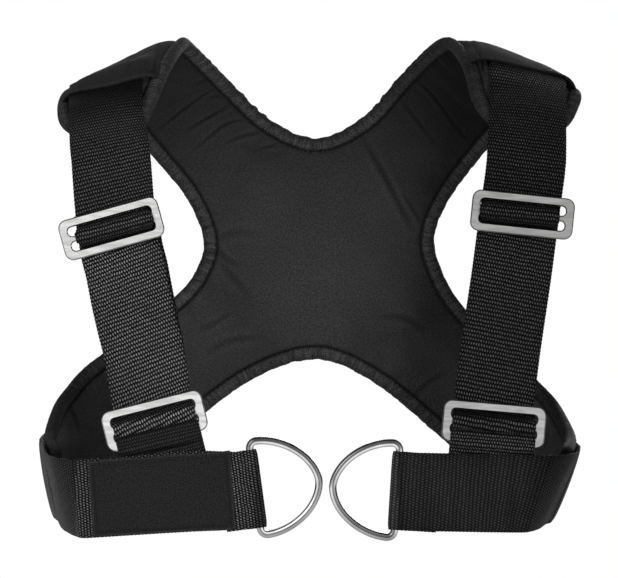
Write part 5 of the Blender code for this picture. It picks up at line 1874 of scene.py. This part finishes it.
def paper_material():
    """White paper: shows as white to the camera and in reflections, and keeps shadows."""
    material, tree, shader, _ = start_material("White paper")
    set_shader(tree, shader, Base_Color=(0.9, 0.9, 0.9, 1.0), Roughness=0.9)
    path = tree.nodes.new("ShaderNodeLightPath")
    shows = sums(tree, "MAXIMUM", path.outputs["Is Camera Ray"], path.outputs["Is Glossy Ray"])
    shows = sums(tree, "MAXIMUM", shows, path.outputs["Is Transmission Ray"])
    glow = add_node(tree, "ShaderNodeEmission", [("Color", (1, 1, 1, 1)), ("Strength", 1.0)])
    mix = add_node(tree, "ShaderNodeMixShader", [(0, shows), (1, shader.outputs[0]),
                                                 (2, glow.outputs[0])])
    behind = tree.nodes.new("ShaderNodeNewGeometry").outputs["Backfacing"]
    clear = tree.nodes.new("ShaderNodeBsdfTransparent")
    sided = add_node(tree, "ShaderNodeMixShader", [(0, behind), (1, mix.outputs[0]),
                                                   (2, clear.outputs[0])])
    tree.links.new(sided.outputs[0], tree.nodes["Material Output"].inputs["Surface"])
    return material


def make_floor():
    """A paper floor and the wall behind it."""
    bpy.ops.object.select_all(action="DESELECT")
    bpy.ops.mesh.primitive_plane_add(size=1.0)
    floor = bpy.context.active_object
    floor.name = "paper_sweep"
    floor.scale = (FLOOR_SIZE, FLOOR_SIZE, 1.0)
    floor.location = (0.0, 0.0, FLOOR_Z)
    bpy.ops.object.transform_apply(location=True, rotation=False, scale=True)
    bpy.ops.object.mode_set(mode="EDIT")
    bpy.ops.mesh.select_all(action="DESELECT")
    bpy.ops.object.mode_set(mode="OBJECT")
    floor.data.edges.foreach_set("select", [
        all(floor.data.vertices[i].co.y > FLOOR_SIZE / 4 for i in edge.vertices)
        for edge in floor.data.edges])
    bpy.ops.object.mode_set(mode="EDIT")
    bpy.ops.mesh.select_mode(type="EDGE")
    bpy.ops.mesh.extrude_region_move(TRANSFORM_OT_translate={"value": (0, 0, WALL_HEIGHT)})
    bpy.ops.object.mode_set(mode="OBJECT")
    floor.data.materials.append(paper_material())


def make_world():
    """White to the camera, dim as light, and dark sides with bright ends in reflections."""
    world = bpy.data.worlds.new("Studio")
    bpy.context.scene.world = world
    world.use_nodes = True
    tree = world.node_tree
    path = tree.nodes.new("ShaderNodeLightPath").outputs
    places = tree.nodes.new("ShaderNodeTexCoord")
    parts = add_node(tree, "ShaderNodeSeparateXYZ", [(0, places.outputs["Generated"])])
    walls = ranged(tree, sums(tree, "ABSOLUTE", parts.outputs[1]), 0.2, 0.5, 0.1, 1.0)
    ambient = add_node(tree, "ShaderNodeMix", [(0, path["Is Glossy Ray"]), (2, 0.1),
                                               (3, walls)]).outputs[0]
    shows = sums(tree, "MAXIMUM", path["Is Camera Ray"], path["Is Transmission Ray"])
    strength = add_node(tree, "ShaderNodeMix", [(0, shows), (2, ambient), (3, 1.0)]).outputs[0]
    set_shader(tree, tree.nodes["Background"], Strength=strength, Color=(1.0, 1.0, 1.0, 1.0))


def make_stage():
    make_floor()
    make_world()
    add_beam("key_beam", *KEY_BEAM)
    for name, values in PANELS.items():
        add_panel(name, *values)
    bpy.ops.object.camera_add(location=tuple(vec(CAMERA_AT) * MM),
                              rotation=(math.radians(90), 0, 0))
    camera = bpy.context.active_object
    camera.name = "photo_camera"
    camera.data.sensor_width = SENSOR
    camera.data.sensor_fit = "HORIZONTAL"
    camera.data.lens = CAMERA_LENS
    camera.data.clip_end = CAMERA_END
    bpy.context.scene.camera = camera
    bpy.context.scene.view_settings.view_transform = "Standard"


# Operators

class HARNESS_OT_back_pad(bpy.types.Operator):
    """Make the padded back with its puckers and creases"""
    bl_idname = "harness.back_pad"
    bl_label = "Back pad"

    def execute(self, context):
        make_back_pad()
        return {"FINISHED"}


class HARNESS_OT_bindings(bpy.types.Operator):
    """Make the gathered tapes round the pad's edges and their seams"""
    bl_idname = "harness.bindings"
    bl_label = "Bindings"

    def execute(self, context):
        make_bindings()
        return {"FINISHED"}


class HARNESS_OT_straps(bpy.types.Operator):
    """Make the shoulder straps and the webbing over the adjusters"""
    bl_idname = "harness.straps"
    bl_label = "Shoulder straps"

    def execute(self, context):
        make_straps()
        make_adjuster_webs()
        return {"FINISHED"}


class HARNESS_OT_covers(bpy.types.Operator):
    """Make the smooth covers over the straps' sewn ends"""
    bl_idname = "harness.covers"
    bl_label = "Shoulder covers"

    def execute(self, context):
        make_covers()
        return {"FINISHED"}


class HARNESS_OT_belts(bpy.types.Operator):
    """Make the side belts and the tabs on the lower slides"""
    bl_idname = "harness.belts"
    bl_label = "Belts and tabs"

    def execute(self, context):
        make_tabs()
        make_belts()
        return {"FINISHED"}


class HARNESS_OT_metal(bpy.types.Operator):
    """Make the D-rings and finish the slides"""
    bl_idname = "harness.metal"
    bl_label = "Rings and slides"

    def execute(self, context):
        make_rings()
        make_slides()
        return {"FINISHED"}


class HARNESS_OT_patch(bpy.types.Operator):
    """Make the bare patch on the left belt"""
    bl_idname = "harness.patch"
    bl_label = "Patch"

    def execute(self, context):
        make_patch()
        return {"FINISHED"}


class HARNESS_OT_stage(bpy.types.Operator):
    """Make the floor, the lamps and the camera"""
    bl_idname = "harness.stage"
    bl_label = "Stage"

    def execute(self, context):
        make_stage()
        return {"FINISHED"}


OPERATORS = (HARNESS_OT_back_pad, HARNESS_OT_bindings, HARNESS_OT_straps, HARNESS_OT_covers,
             HARNESS_OT_belts, HARNESS_OT_metal, HARNESS_OT_patch, HARNESS_OT_stage)


class HARNESS_PT_panel(bpy.types.Panel):
    """Sizes, colours and pieces of the harness"""
    bl_idname = "HARNESS_PT_panel"
    bl_label = "Harness"
    bl_space_type = "VIEW_3D"
    bl_region_type = "UI"
    bl_category = "Harness"

    def draw(self, context):
        layout = self.layout
        for group in (context.scene.harness_sizes, context.scene.harness_colours):
            for key in group.bl_rna.properties.keys():
                if key not in ("rna_type", "name"):
                    layout.prop(group, key)
        for operator in OPERATORS:
            layout.operator(operator.bl_idname)


CLASSES = (HarnessSizes, HarnessColours, *OPERATORS, HARNESS_PT_panel)


def register():
    for item in CLASSES:
        bpy.utils.register_class(item)
    bpy.types.Scene.harness_sizes = bpy.props.PointerProperty(type=HarnessSizes)
    bpy.types.Scene.harness_colours = bpy.props.PointerProperty(type=HarnessColours)


def unregister():
    del bpy.types.Scene.harness_colours
    del bpy.types.Scene.harness_sizes
    for item in reversed(CLASSES):
        bpy.utils.unregister_class(item)


def main():
    register()
    bpy.ops.harness.back_pad()
    bpy.ops.harness.bindings()
    bpy.ops.harness.straps()
    bpy.ops.harness.covers()
    bpy.ops.harness.belts()
    bpy.ops.harness.metal()
    bpy.ops.harness.patch()
    bpy.ops.harness.stage()


if __name__ == "__main__":
    main()
